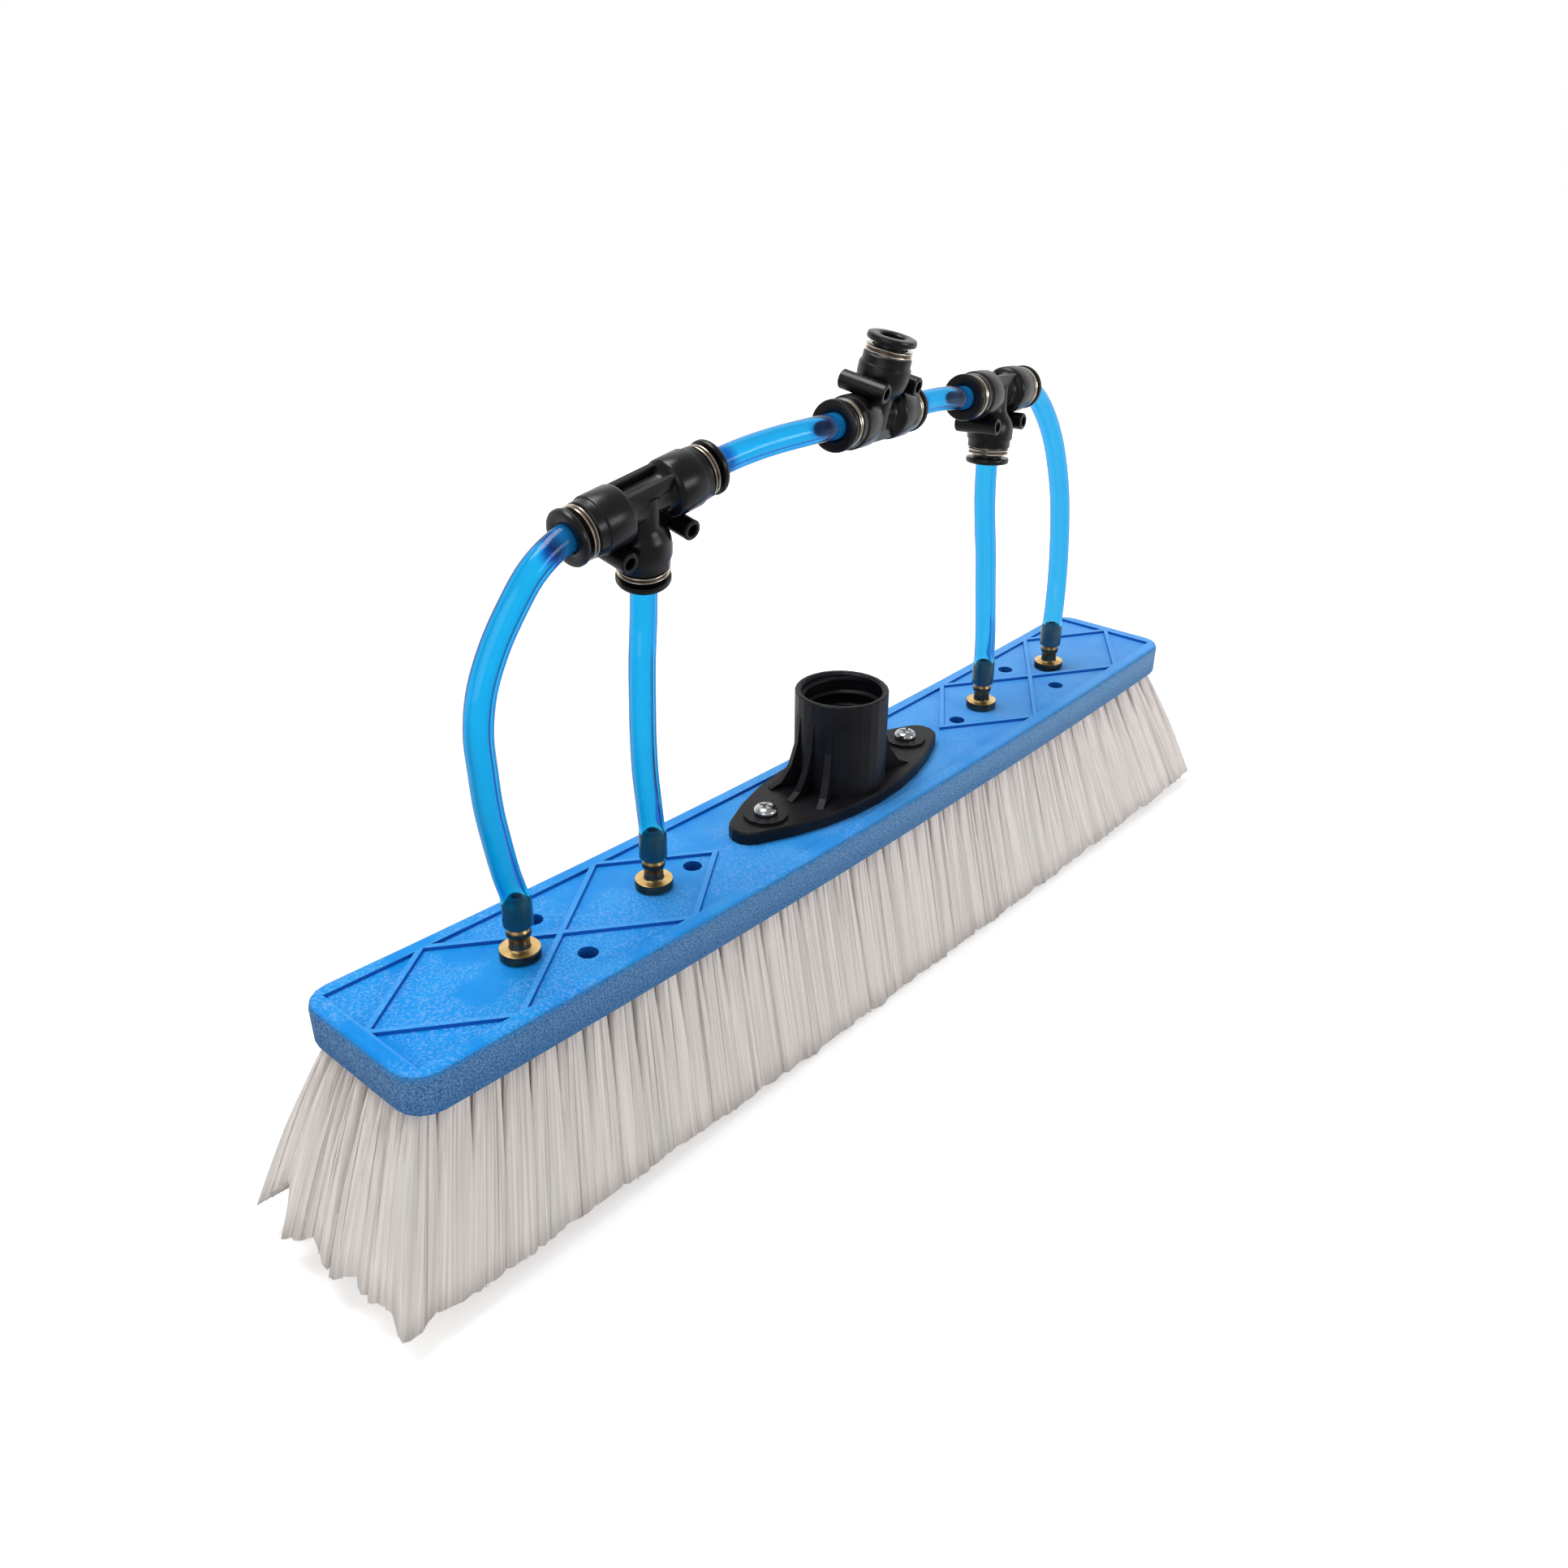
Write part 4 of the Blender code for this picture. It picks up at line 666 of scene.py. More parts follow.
def tip_place(x, y):
    """Where a filament rooted at x, y ends: spread out, and trimmed along the curve of the back."""
    half_y = HALF_WIDTH - BACKING_MARGIN
    channel = WATER_CHANNEL / 2
    front = FRONT_FLARE + 0.0033 * ease(x, 0.0, 0.19)
    back = BACK_FLARE + 0.0010 * ease(-x, 0.0, 0.19)
    flare = np.where(y < 0, front, back)
    tip_y = np.sign(y) * (np.abs(y) - channel) * (half_y + flare) / (half_y - channel)
    left_spread = LEFT_SPREAD + 0.055 * ease(y, -0.020, 0.015)
    tip_x = x + np.where(x < 0, left_spread, RIGHT_SPREAD) * x * np.abs(x)
    tip_z = camber_at(x) + LEFT_LIFT * ease(-x, 0.03, 0.13)
    tip_z += 0.0007 * (1 + np.sin(x * 260.0 + np.sign(y)) * np.sin(y * 300.0 + x * 90.0))
    shorter = np.interp(tip_y, END_CLUMP_Y, END_CLUMP_RISE) * ease(-x, 0.168, 0.189)
    shorter += np.interp(tip_x, FRONT_CLUMP_X, FRONT_CLUMP_RISE) * ease(-tip_y, 0.020, 0.030)
    tip_x -= (tip_x - x) * shorter / BLOCK_BOTTOM
    tip_y -= (tip_y - y) * shorter / BLOCK_BOTTOM
    return np.stack((tip_x, tip_y, tip_z + shorter), -1)


def tuft_places(index):
    """Root centre and half size of the cell of every tuft of one slice."""
    half_x = HALF_LENGTH - BACKING_MARGIN
    channel = WATER_CHANNEL / 2
    pitch = 2 * half_x / SECTIONS
    cell_x = (pitch - SECTION_GAP) / COLUMNS
    cell_y = (HALF_WIDTH - BACKING_MARGIN - TUFT_MARGIN - channel) / ROWS_PER_SIDE
    left = pitch * index - half_x + SECTION_GAP / 2
    places = []
    for column in range(COLUMNS):
        for side in (-1, 1):
            for row in range(ROWS_PER_SIDE):
                x = left + cell_x * (column + 0.5)
                y = side * (channel + cell_y * (row + 0.5))
                places.append((x, y, cell_x / 2, cell_y / 2))
    return places


def root_height(x):
    return BLOCK_BOTTOM + camber_at(x) + ROOT_LIFT


def root_place(x, y):
    """Where a filament leaves the backing. The outer columns start further out and close the channel."""
    spread = np.sign(x) * ROOT_SPREAD * ease(np.abs(x), 0.165, 0.190)
    closing = np.sign(y) * CHANNEL_CLOSING * (1 - np.abs(y) / HALF_WIDTH) * ease(np.abs(x), 0.175, 0.188)
    return np.stack((x + spread, y - closing, root_height(x)), -1)


def bent(roots, tips, share):
    """The place at a share of the way along strands that lean out later, less so at the ends."""
    place = roots + (tips - roots) * share
    power = 1.14 - 0.22 * ease(np.abs(roots[..., :1]), 0.15, 0.192)
    place[..., :2] = roots[..., :2] + (tips[..., :2] - roots[..., :2]) * share**power
    return place


def tuft_fill(share):
    """How much of its cell a tuft fills: bound together at its root, one with its neighbours further down."""
    return ROOT_FILL + (TIP_FILL - ROOT_FILL) * (1 - (1 - share) ** 2.4)


def tuft_core(rng, x, y, half_x, half_y):
    """Closed fluted bundle in the middle of a tuft: points and faces."""
    angle = np.arange(TUFT_SIDES) * math.tau / TUFT_SIDES
    flutes = (1 + 0.045 * rng.standard_normal(TUFT_SIDES)).clip(0.9, 1.08)
    across = np.stack((np.cos(angle), np.sin(angle)), 1)
    square = across / np.maximum(np.abs(across).max(1), 0.80)[:, None]
    ends = 0.0003 + 0.0008 * rng.random(TUFT_SIDES)
    rings = []
    for share in CORE_RINGS:
        shape = across + (square - across) * min(1.0, 2 * share)
        cell = np.array((x, y)) + shape * (half_x, half_y) * flutes[:, None] * tuft_fill(share)
        tips = tip_place(cell[:, 0], cell[:, 1])
        tips[:, 2] += ends
        rings.append(bent(root_place(cell[:, 0], cell[:, 1]), tips, share))
    hollow = rings[-1].mean(0) + np.array((0, 0, CORE_END_HOLLOW))
    points = np.vstack((*rings, rings[0].mean(0), hollow))
    faces = []
    for ring in range(len(rings) - 1):
        for step in range(TUFT_SIDES):
            after = (step + 1) % TUFT_SIDES
            low = ring * TUFT_SIDES
            faces.append((low + step, low + after, low + TUFT_SIDES + after, low + TUFT_SIDES + step))
    last = (len(rings) - 1) * TUFT_SIDES
    cap = len(rings) * TUFT_SIDES
    for step in range(TUFT_SIDES):
        after = (step + 1) % TUFT_SIDES
        faces.append((after, step, cap))
        faces.append((last + step, last + after, cap + 1))
    return points, faces


def tuft_filaments(rng, x, y, half_x, half_y):
    """Three-sided strands on and around the core: points and faces."""
    angle = rng.random(FILAMENTS) * math.tau
    reach = rng.random(FILAMENTS) ** 0.2
    across = np.stack((np.cos(angle), np.sin(angle)), 1) * reach[:, None]
    trim = FILAMENT_TRIM * rng.random(FILAMENTS)
    bow = rng.standard_normal((FILAMENTS, 2)) * FILAMENT_BOW
    points = []
    for share, width in FILAMENT_RINGS:
        cell = np.array((x, y)) + across * (half_x, half_y) * (tuft_fill(share) + 0.04)
        tips = tip_place(cell[:, 0], cell[:, 1])
        tips[:, 2] += trim
        centre = bent(root_place(cell[:, 0], cell[:, 1]), tips, share)
        centre[:, :2] += bow * (4 * share * (1 - share))
        for step in range(FILAMENT_SIDES):
            turn = math.tau * step / FILAMENT_SIDES
            outwards = np.array((math.cos(turn), math.sin(turn), 0))
            points.append(centre + outwards * (width * FILAMENT_RADIUS))
    points = np.stack(points, 1).reshape(-1, 3)
    one = []
    for low in range(0, FILAMENT_SIDES * (len(FILAMENT_RINGS) - 1), FILAMENT_SIDES):
        high = low + FILAMENT_SIDES
        for step in range(FILAMENT_SIDES):
            after = (step + 1) % FILAMENT_SIDES
            one.append((low + step, low + after, high + after, high + step))
    last = FILAMENT_SIDES * (len(FILAMENT_RINGS) - 1)
    one.append(tuple(last + step for step in range(FILAMENT_SIDES)))
    length = FILAMENT_SIDES * len(FILAMENT_RINGS)
    faces = []
    for start in range(0, length * FILAMENTS, length):
        faces += [tuple(start + corner for corner in face) for face in one]
    return points, faces


def bristle_mesh(name, index):
    rng = np.random.default_rng(FILAMENT_SEED + index)
    points = []
    faces = []
    count = 0
    for place in tuft_places(index):
        for shape in (tuft_core, tuft_filaments):
            more, sides = shape(rng, *place)
            points.append(more)
            faces += [tuple(corner + count for corner in face) for face in sides]
            count += len(more)
    mesh = bpy.data.meshes.new(name)
    mesh.from_pydata(np.vstack(points).tolist(), [], faces)
    for face in mesh.polygons:
        face.use_smooth = True
    return mesh


def backing_mesh(name, index):
    """The slice that holds the tufts, let into the underside of the brush back."""
    half_x = HALF_LENGTH - BACKING_MARGIN
    half_y = HALF_WIDTH - BACKING_MARGIN
    pitch = 2 * half_x / SECTIONS
    left = pitch * index - half_x + SECTION_GAP / 2
    right = left + pitch - SECTION_GAP
    bm = bmesh.new()
    columns = []
    for step in range(BACKING_STEPS + 1):
        x = left + (right - left) * step / BACKING_STEPS
        low = BLOCK_BOTTOM + camber_at(x)
        top = low + BACKING_DEPTH
        column = [(x, -half_y, low), (x, half_y, low), (x, half_y, top), (x, -half_y, top)]
        columns.append([bm.verts.new(point) for point in column])
    for here, there in zip(columns, columns[1:]):
        for step in range(4):
            after = (step + 1) % 4
            bm.faces.new((here[step], here[after], there[after], there[step]))
    bm.faces.new(columns[0])
    bm.faces.new(columns[-1])
    bmesh.ops.recalc_face_normals(bm, faces=bm.faces)
    bmesh.ops.bevel(bm, geom=bm.edges, offset=BACKING_EDGE, segments=1, affect="EDGES")
    return mesh_from(name, bm)


def make_bristles():
    for index in range(SECTIONS):
        name = f"bristle_filaments_{index + 1}"
        node = f"bristle_section_{index + 1}"
        add_piece(name, bristle_mesh(name, index), "bristle", "brush_head", (node,))
        backing = f"bristle_backing_{index + 1}"
        add_piece(backing, backing_mesh(backing, index), "blue_plastic", "brush_head")


# Hoses

def smooth_line(points, step):
    """A fine line through the points: a centripetal curve, sampled at an even step."""
    points = np.array(points)
    padded = np.vstack((2 * points[0] - points[1], points, 2 * points[-1] - points[-2]))
    line = []
    for i in range(1, len(padded) - 2):
        p0, p1, p2, p3 = padded[i - 1 : i + 3]
        d1, d2, d3 = (math.sqrt(np.linalg.norm(b - a)) for a, b in ((p0, p1), (p1, p2), (p2, p3)))
        leave = ((p1 - p0) / d1 - (p2 - p0) / (d1 + d2) + (p2 - p1) / d2) * d2
        arrive = ((p2 - p1) / d2 - (p3 - p1) / (d2 + d3) + (p3 - p2) / d3) * d2
        for t in np.linspace(0, 1, 24, endpoint=False):
            a = (2 * t**3 - 3 * t**2 + 1) * p1 + (t**3 - 2 * t**2 + t) * leave
            line.append(a + (3 * t**2 - 2 * t**3) * p2 + (t**3 - t**2) * arrive)
    line.append(padded[-2])
    line = np.array(line)
    lengths = np.concatenate(([0], np.cumsum(np.linalg.norm(np.diff(line, axis=0), axis=1))))
    goals = np.linspace(0, lengths[-1], max(4, round(lengths[-1] / step)) + 1)
    return np.stack([np.interp(goals, lengths, line[:, axis]) for axis in range(3)], 1), goals


def hose_mesh(name, points, on_barb):
    """A tube with its bore. Over a barb it is stretched wide, with a rounded lip at its end."""
    line, along = smooth_line(points, HOSE_STEP)
    to_end = along[-1] - along
    flare = np.zeros(len(line))
    if on_barb:
        flare = ease(FLARE_STRAIGHT + FLARE_TAPER - to_end, 0, FLARE_TAPER)
    outer = HOSE_RADIUS + (FLARE_RADIUS - HOSE_RADIUS) * flare
    inner = HOSE_BORE_RADIUS + (FLARE_BORE_RADIUS - HOSE_BORE_RADIUS) * flare
    tangents = np.gradient(line, axis=0)
    tangents /= np.linalg.norm(tangents, axis=1)[:, None]
    across = np.cross(tangents[0], (0.0, 1.0, 0.0))
    bm = bmesh.new()
    skins = ([], [])
    for place, tangent, wide, narrow in zip(line, tangents, outer, inner):
        across = across - tangent * np.dot(across, tangent)
        across /= np.linalg.norm(across)
        beside = np.cross(tangent, across)
        for skin, radius in zip(skins, (wide, narrow)):
            ring = []
            for step in range(HOSE_SIDES):
                angle = math.tau * step / HOSE_SIDES
                outwards = across * math.cos(angle) + beside * math.sin(angle)
                ring.append(bm.verts.new(place + outwards * radius))
            skin.append(ring)
    for skin in skins:
        for here, there in zip(skin, skin[1:]):
            for step in range(HOSE_SIDES):
                after = (step + 1) % HOSE_SIDES
                bm.faces.new((here[step], here[after], there[after], there[step]))
    rims = []
    for end in (0, -1):
        for step in range(HOSE_SIDES):
            after = (step + 1) % HOSE_SIDES
            wide, narrow = skins[0][end], skins[1][end]
            bm.faces.new((wide[step], wide[after], narrow[after], narrow[step]))
            rims.append(bm.edges.get((wide[step], wide[after])))
    bmesh.ops.recalc_face_normals(bm, faces=bm.faces)
    bmesh.ops.bevel(bm, geom=rims, offset=0.0003, segments=2, profile=0.5, affect="EDGES")
    return mesh_from(name, bm, 50.0)


def make_hoses():
    for node, points in HOSES.items():
        name = node.replace("_hose", "_clear_hose")
        on_barb = not node.startswith("top")
        add_piece(name, hose_mesh(name, points, on_barb), "hose_blue", "brush_head", (node,))


# Jets

def jet_profile():
    """Shank, flange, neck, rounded ring, nose that fills the hose."""
    return [
        (0.0015, -0.0078), (0.00275, -0.0078), (0.00275, 0.0003),
        (0.0057, 0.0003), (0.006, 0.0006), (0.006, 0.0029), (0.0059, 0.0032), (0.0056, 0.0033),
        (0.0037, 0.0034), (0.0033, 0.0036),
        (0.0031, 0.0040), (0.00305, 0.0069), (0.0033, 0.0073), (0.00355, 0.0076), (0.00365, 0.0080),
        (0.00365, 0.0088), (0.0035, 0.0094), (0.0032, 0.0098), (0.003, 0.0101), (0.003, 0.0107),
        (0.0035, 0.0110), (0.0036, 0.0114), (0.0036, 0.0180), (0.0034, 0.0190), (0.0031, 0.0199),
        (0.0025, 0.0205), (0.0015, 0.0208),
    ]


def make_jets():
    for node, x in JETS.items():
        lean = -math.atan(2 * CAMBER * x / HALF_LENGTH**2)
        place = Matrix.Translation((x, 0, PANEL_TOP + camber_at(x))) @ Matrix.Rotation(lean, 4, "Y")
        name = node.replace("_jet", "_turned_jet")
        add_piece(name, turned(name, jet_profile(), PORT_SIDES, place), "brass", "brush_head", (node,))


# Tees

def tee_matrix(place, degrees, stem_down):
    roll, pitch, yaw = (math.radians(angle) for angle in degrees)
    turn = Matrix.Rotation(yaw, 4, "Z") @ Matrix.Rotation(pitch, 4, "Y") @ Matrix.Rotation(roll, 4, "X")
    if stem_down:
        turn = turn @ Matrix.Rotation(math.pi, 4, "X")
    return Matrix.Translation(place) @ turn


def port_matrix(which):
    if which == "stem":
        return Matrix.Translation((0, 0, STEM_REACH))
    side = -1 if which == "left" else 1
    return Matrix.Translation((side * RUN_REACH, 0, 0)) @ Matrix.Rotation(side * math.pi / 2, 4, "Y")


def mouth_profile(reach):
    """The outer end of a body's barrel: rounded shoulder, neck, chamfered mouth."""
    mouth = reach - PORT_MOUTH
    neck = mouth - BODY_NECK_LENGTH
    return [
        (BODY_RADIUS, neck - 0.0007), (BODY_RADIUS - 0.00015, neck - 0.0002),
        (BODY_NECK_RADIUS + 0.0001, neck), (BODY_NECK_RADIUS, neck + 0.0004),
        (BODY_NECK_RADIUS, mouth - 0.0003), (BODY_NECK_RADIUS - 0.0003, mouth), (0, mouth),
    ]


def stepped_bore(reach):
    stop = reach - HOSE_STOP
    seat = reach - PORT_BORE_END
    outside = reach - PORT_MOUTH + 0.002
    return [
        (FLOW_BORE_RADIUS, stop), (SLIDE_RADIUS, stop), (SLIDE_RADIUS, seat),
        (PORT_BORE_RADIUS, seat), (PORT_BORE_RADIUS, outside), (0, outside),
    ]


def mirrored(half):
    return [(radius, -height) for radius, height in reversed(half)] + half


def tee_body_mesh():
    """Two barrels and a bellied stem, blended into a waist, with rails, a web and two cross bosses."""
    along_run = Matrix.Rotation(math.pi / 2, 4, "Y")
    across = Matrix.Rotation(math.pi / 2, 4, "X")
    run = [
        (WAIST_RADIUS, 0.0058), (0.0052, 0.0066), (0.0058, 0.0073), (0.0067, 0.0078), (0.0075, 0.0081),
        (0.0080, 0.0085), (BODY_RADIUS, 0.0093),
    ]
    stem = [
        (0, -FLOW_BORE_RADIUS), (0.0052, -FLOW_BORE_RADIUS), (0.0052, 0.0058), (0.0055, 0.0068),
        (0.0062, 0.0079), (0.0070, 0.0089), (0.0076, 0.0099), (0.0080, 0.0112), (BODY_RADIUS, 0.0130),
    ]
    blank = turned("tee_run", mirrored(run + mouth_profile(RUN_REACH)), PORT_SIDES, along_run)
    joined = [turned("tee_stem", stem + mouth_profile(STEM_REACH), PORT_SIDES)]
    joined.append(box("tee_web", (-BOSS_X, -WEB_WIDTH / 2, 0.001), (BOSS_X, WEB_WIDTH / 2, BOSS_Z), 0.0003))
    stem_bore = [(0, 0), (FLOW_BORE_RADIUS - 0.0002, 0)] + stepped_bore(STEM_REACH)
    cut = [
        turned("run_bore", mirrored(stepped_bore(RUN_REACH)), PORT_SIDES, along_run),
        turned("stem_bore", stem_bore, PORT_SIDES),
    ]
    half = BOSS_LENGTH / 2
    boss = mirrored([(BOSS_RADIUS, half - 0.0004), (BOSS_RADIUS - 0.0004, half), (0, half)])
    hole = mirrored([
        (BOSS_HOLE_RADIUS, half - 0.0003), (BOSS_HOLE_RADIUS + 0.0003, half + 0.0001), (0, half + 0.0001),
    ])
    for side in (-1, 1):
        low = (-RAIL_HALF_LENGTH, side * RAIL_Y - RAIL_WIDTH / 2, -RAIL_HEIGHT)
        high = (RAIL_HALF_LENGTH, side * RAIL_Y + RAIL_WIDTH / 2, -RAIL_INSET)
        joined.append(box(f"tee_rail_{side}", low, high, 0.0004))
        place = Matrix.Translation((side * BOSS_X, 0, BOSS_Z)) @ across
        joined.append(turned(f"tee_boss_{side}", boss, 40, place))
        cut.append(turned(f"tee_boss_hole_{side}", hole, 32, place))
    return carved("tee_body", blank, joined, cut)


def band_profile():
    """Two bright ridges with a groove between them, and the sleeve behind."""
    face = -BAND_FACE
    back = -(BAND_FACE + BAND_WIDTH)
    return [
        (0.0057, face - 0.0001), (0.0071, face - 0.0001), (0.0075, face - 0.0002),
        (BAND_RADIUS, face - 0.0004), (0.0075, face - 0.0006), (0.0071, face - 0.0007),
        (0.0068, face - 0.0007), (0.0068, back + 0.0007), (0.0071, back + 0.0007),
        (0.0075, back + 0.0006), (BAND_RADIUS, back + 0.0004), (0.0075, back + 0.0002),
        (0.0071, back + 0.0001), (0.0063, back), (0.0063, -0.0095), (0.0057, -0.0095),
    ]


def groove_profile():
    """The floor of the groove between a band's two ridges, painted darker as shade."""
    front = -BAND_FACE - 0.00075
    back = -BAND_FACE - BAND_WIDTH + 0.00075
    return [(0.00682, front), (0.0070, front), (0.0070, back), (0.00682, back)]


def collar_profile():
    """Release collar: rounded disc with a countersunk bore, sleeve and lip behind."""
    edge = COLLAR_RADIUS
    back = -COLLAR_FLANGE
    return [
        (COLLAR_BORE_RADIUS, -0.0006), (0.0045, -0.0002), (0.0050, 0.0), (edge - 0.0009, 0.0),
        (edge - 0.0003, -0.0002), (edge, -0.0007), (edge, back + 0.0005), (edge - 0.0002, back + 0.0001),
        (edge - 0.0006, back), (0.0052, back), (0.0052, -0.0098), (0.0058, -0.0098),
        (0.0058, -0.0106), (COLLAR_BORE_RADIUS, -0.0106),
    ]


def make_tees():
    shape = tee_body_mesh()
    for tee, (place, degrees, stem_down) in TEES.items():
        base = tee_matrix(place, degrees, stem_down)
        body = "centre_tee" if tee == "centre" else "brush_head"
        moulded = shape.copy()
        moulded.name = f"{tee}_tee_moulding"
        moulded.transform(base)
        add_piece(moulded.name, moulded, "fitting_plastic", body, (f"{tee}_tee_body",))
        for which in ("left", "right", "stem"):
            port = base @ port_matrix(which)
            node = f"{tee}_tee_{which}"
            band = f"{node}_ribbed_band"
            mesh = turned(band, band_profile(), PORT_SIDES, port)
            add_piece(band, mesh, "nickel", body, (f"{node}_port_band",))
            # The groove floor is a separate ring in darker nickel, as painted shade.
            groove = f"{node}_band_groove"
            mesh = turned(groove, groove_profile(), PORT_SIDES, port)
            add_piece(groove, mesh, "nickel", body, finish="nickel_groove_shade")
            collar = f"{node}_rounded_collar"
            mesh = turned(collar, collar_profile(), PORT_SIDES, port)
            slider = f"{tee}_{which}_collar"
            add_piece(collar, mesh, "fitting_plastic", slider, (f"{node}_release_collar",))


# Pole socket's thread and the screws

def thread_mesh():
    """A rounded helical ridge in the bore, faded out at both ends."""
    steps = round(THREAD_TURNS * THREAD_STEPS)
    half = THREAD_HALF_WIDTH
    shape = ((-half, 0.0), (-0.0005, 0.85), (0.0, 1.0), (0.0005, 0.85), (half, 0.0))
    bm = bmesh.new()
    rows = []
    for step in range(steps + 1):
        angle = math.tau * step / THREAD_STEPS
        fade = min(1.0, 12 * min(step, steps - step) / steps + 0.03)
        height = SOCKET_TOP - THREAD_START - THREAD_PITCH * step / THREAD_STEPS
        row = []
        for rise, depth in shape:
            radius = SOCKET_BORE_RADIUS - 0.0001 - THREAD_DEPTH * depth * fade
            row.append(bm.verts.new((radius * math.cos(angle), radius * math.sin(angle), height + rise)))
        for rise in (half, -half):
            radius = SOCKET_BORE_RADIUS + THREAD_ROOT
            row.append(bm.verts.new((radius * math.cos(angle), radius * math.sin(angle), height + rise)))
        rows.append(row)
    for here, there in zip(rows, rows[1:]):
        for step in range(len(here)):
            after = (step + 1) % len(here)
            bm.faces.new((here[step], here[after], there[after], there[step]))
    bm.faces.new(rows[0])
    bm.faces.new(rows[-1])
    return mesh_from("socket_thread", bm, 60.0)


def screw_mesh(name, x):
    """Pan head with a cross recess, its shank in the socket and the brush back."""
    profile = [
        (0, -SCREW_LENGTH), (SCREW_RADIUS, -SCREW_POINT), (SCREW_RADIUS, SCREW_HEAD_LOW),
        (SCREW_HEAD_RADIUS - 0.0001, SCREW_HEAD_LOW),
    ]
    crown = SCREW_HEAD_HEIGHT - SCREW_HEAD_RIM
    for step in range(9):
        angle = math.pi / 2 * step / 8
        radius = SCREW_HEAD_RADIUS * math.cos(angle) ** 0.72 if step < 8 else 0
        profile.append((radius, SCREW_HEAD_LOW + SCREW_HEAD_RIM + crown * math.sin(angle)))
    slots = []
    for turn in (0, 1):
        bm = bmesh.new()
        bmesh.ops.create_cube(bm, size=1.0)
        for vert in bm.verts:
            top = vert.co.z > 0
            vert.co.x *= 0.0052 if top else 0.0026
            vert.co.y *= 0.00125 if top else 0.0008
            vert.co.z = SCREW_HEAD_LOW + SCREW_HEAD_HEIGHT + (0.0004 if top else -0.0017)
        turned_by = Matrix.Rotation(math.pi / 2 * turn + CROSS_TURN, 3, "Z")
        bmesh.ops.rotate(bm, verts=bm.verts, matrix=turned_by)
        slots.append(mesh_from(f"{name}_slot_{turn}", bm))
    made = carved(name, turned(f"{name}_blank", profile, 48), [], slots)
    made.transform(Matrix.Translation((x, 0, PAD_TOP)))
    return made


def make_socket_details():
    add_piece("socket_thread", thread_mesh(), "black_plastic", "brush_head")
    for side, x in (("left", -SCREW_X), ("right", SCREW_X)):
        name = f"{side}_pan_head_screw"
        add_piece(name, screw_mesh(name, x), "screw_steel", "brush_head", (f"{side}_socket_screw",))


# Studio

def ray_shares(tree):
    """1 for the rays of the eye, and 1 for those by which gloss and glass see. Both are 0 for lighting."""
    rays = add_node(tree, "ShaderNodeLightPath").outputs
    glimpse = math_node(tree, "MAXIMUM", rays["Is Glossy Ray"], rays["Is Transmission Ray"])
    return rays["Is Camera Ray"], glimpse


def behind_brush(tree, kind, low, high):
    """Bright behind the brush, as the eye sees it, and dim on the side of the eye and overhead."""
    place = add_node(tree, "ShaderNodeTexCoord").outputs[kind]
    ahead = add_node(tree, "ShaderNodeVectorMath", {0: place, 1: (0.75, 0.66, -0.6)}, operation="DOT_PRODUCT")
    return remap(tree, ahead.outputs["Value"], low, high, 0.3, 1.0)


def make_world():
    """White to the eye. Gloss and glass find that white behind the brush, and a dimmer room before it."""
    world = bpy.data.worlds.new("studio_white")
    world.use_nodes = True
    tree = world.node_tree
    eye, glimpse = ray_shares(tree)
    lighting = remap(tree, math_node(tree, "ADD", eye, glimpse), 0.0, 1.0, 0.5, 0.0)
    room = math_node(tree, "MULTIPLY", glimpse, behind_brush(tree, "Generated", -0.1, 0.6))
    background = tree.nodes["Background"]
    background.inputs["Color"].default_value = (1.0, 1.0, 1.0, 1.0)
    strength = math_node(tree, "ADD", math_node(tree, "ADD", lighting, eye), room)
    tree.links.new(strength, background.inputs["Strength"])
    bpy.context.scene.world = world


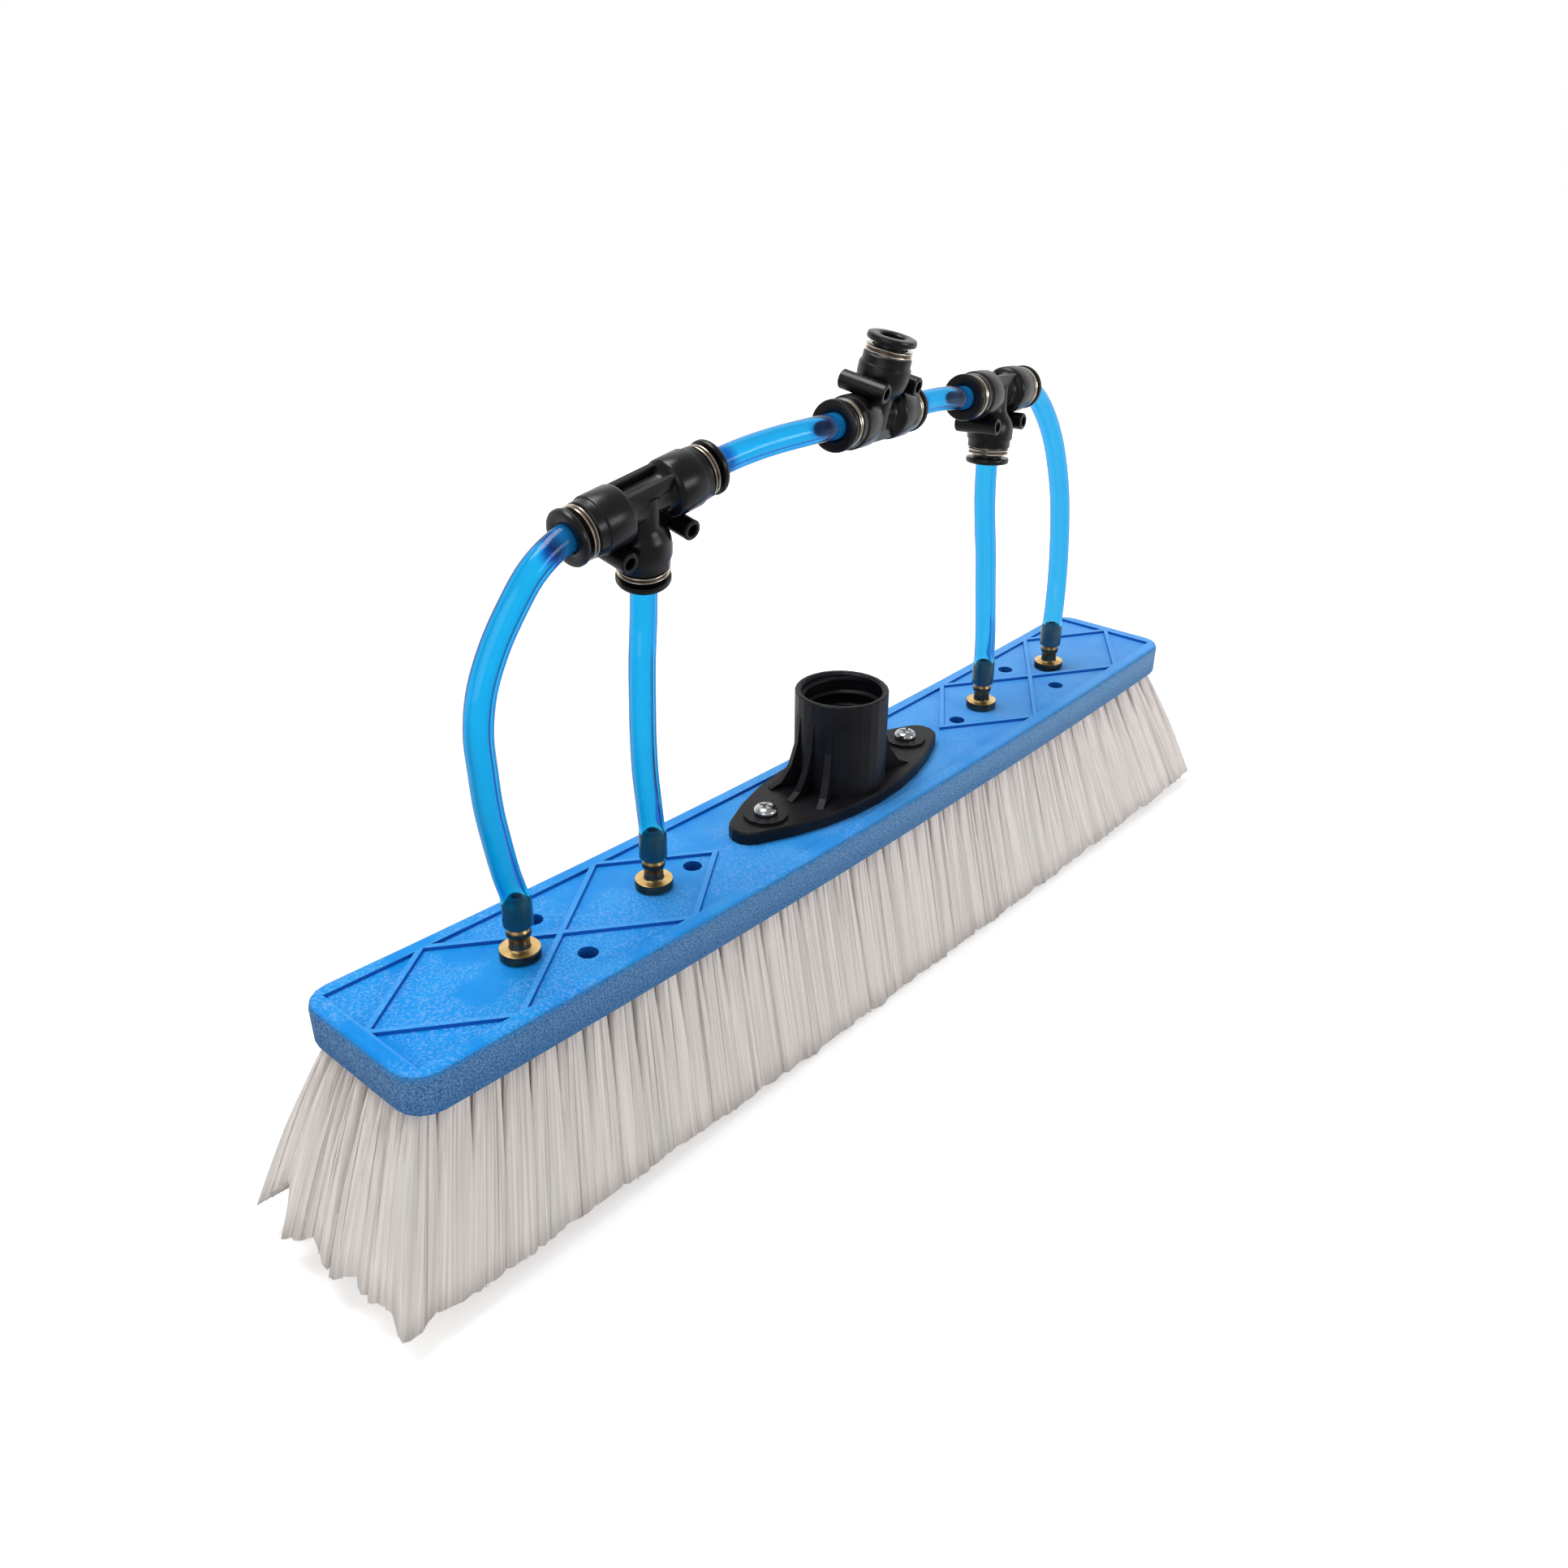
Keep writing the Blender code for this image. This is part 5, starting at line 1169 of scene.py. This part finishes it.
def make_floor():
    """A pale floor that keeps the shadow under the brush and runs out into plain white."""
    size = FLOOR_HALF_SIZE
    low = -FLOOR_GAP
    mesh = bpy.data.meshes.new("studio_floor")
    corners = [(-size, -size, low), (size, -size, low), (size, size, low), (-size, size, low)]
    mesh.from_pydata(corners, [], [(0, 1, 2, 3)])
    floor = bpy.data.objects.new("studio_floor", mesh)
    bpy.context.scene.collection.objects.link(floor)
    material, tree, shader = new_material("pale_floor")
    eye, glimpse = ray_shares(tree)
    paint = mix_colour(tree, glimpse, (0.93, 0.93, 0.93), (0.0, 0.0, 0.0))
    tree.links.new(paint, shader.inputs["Base Color"])
    shader.inputs["Roughness"].default_value = 0.9
    shader.inputs["Specular IOR Level"].default_value = 0.0
    place = add_node(tree, "ShaderNodeTexCoord").outputs["Object"]
    away = add_node(tree, "ShaderNodeVectorMath", {"Vector": place}, operation="LENGTH").outputs["Value"]
    plain = math_node(tree, "MULTIPLY", eye, remap(tree, away, 0.25, 0.6, 0.42, 1.0))
    room = math_node(tree, "MULTIPLY", glimpse, behind_brush(tree, "Object", -0.2, 0.2))
    shader.inputs["Emission Color"].default_value = (1.0, 1.0, 1.0, 1.0)
    tree.links.new(math_node(tree, "ADD", plain, room), shader.inputs["Emission Strength"])
    mesh.materials.append(material)
    floor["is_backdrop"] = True


def add_softbox(name, place, target, size, power):
    lamp = bpy.data.lights.new(name, "AREA")
    lamp.shape = "RECTANGLE"
    lamp.size, lamp.size_y = size
    lamp.energy = power
    softbox = bpy.data.objects.new(name, lamp)
    bpy.context.scene.collection.objects.link(softbox)
    softbox.location = place
    softbox.rotation_mode = "QUATERNION"
    softbox.rotation_quaternion = (Vector(target) - Vector(place)).to_track_quat("-Z", "Y")


def make_studio():
    make_world()
    make_floor()
    add_softbox("overhead_softbox", (-0.15, 0.25, 1.15), (0, 0, 0.1), (0.7, 0.45), 7.0)
    add_softbox("left_softbox", (-1.1, -0.25, 0.55), (0, 0, 0.1), (0.9, 0.9), 2.2)
    add_softbox("front_softbox", (0.35, -1.15, 0.45), (0, 0, 0.08), (0.6, 0.35), 2.6)


def make_camera():
    data = bpy.data.cameras.new("photo_camera")
    data.sensor_width = 36.0
    data.lens = CAMERA_LENS
    data.clip_start = 0.01
    data.clip_end = 50.0
    camera = bpy.data.objects.new("photo_camera", data)
    bpy.context.scene.collection.objects.link(camera)
    camera.location = CAMERA_PLACE
    turn = Vector(CAMERA_LOOK).to_track_quat("-Z", "Y").to_matrix() @ Matrix.Rotation(
        math.radians(CAMERA_ROLL_DEGREES), 3, "Z"
    )
    camera.rotation_mode = "QUATERNION"
    camera.rotation_quaternion = turn.to_quaternion()
    bpy.context.scene.camera = camera


def write_sizes():
    plain = [[list(corner) for corner in bounds] for bounds in (cad_box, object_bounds())]


make_camera()
dress_solids()
make_bristles()
make_hoses()
make_jets()
make_tees()
make_socket_details()
make_studio()
bpy.context.scene.view_settings.view_transform = "Standard"
write_sizes()
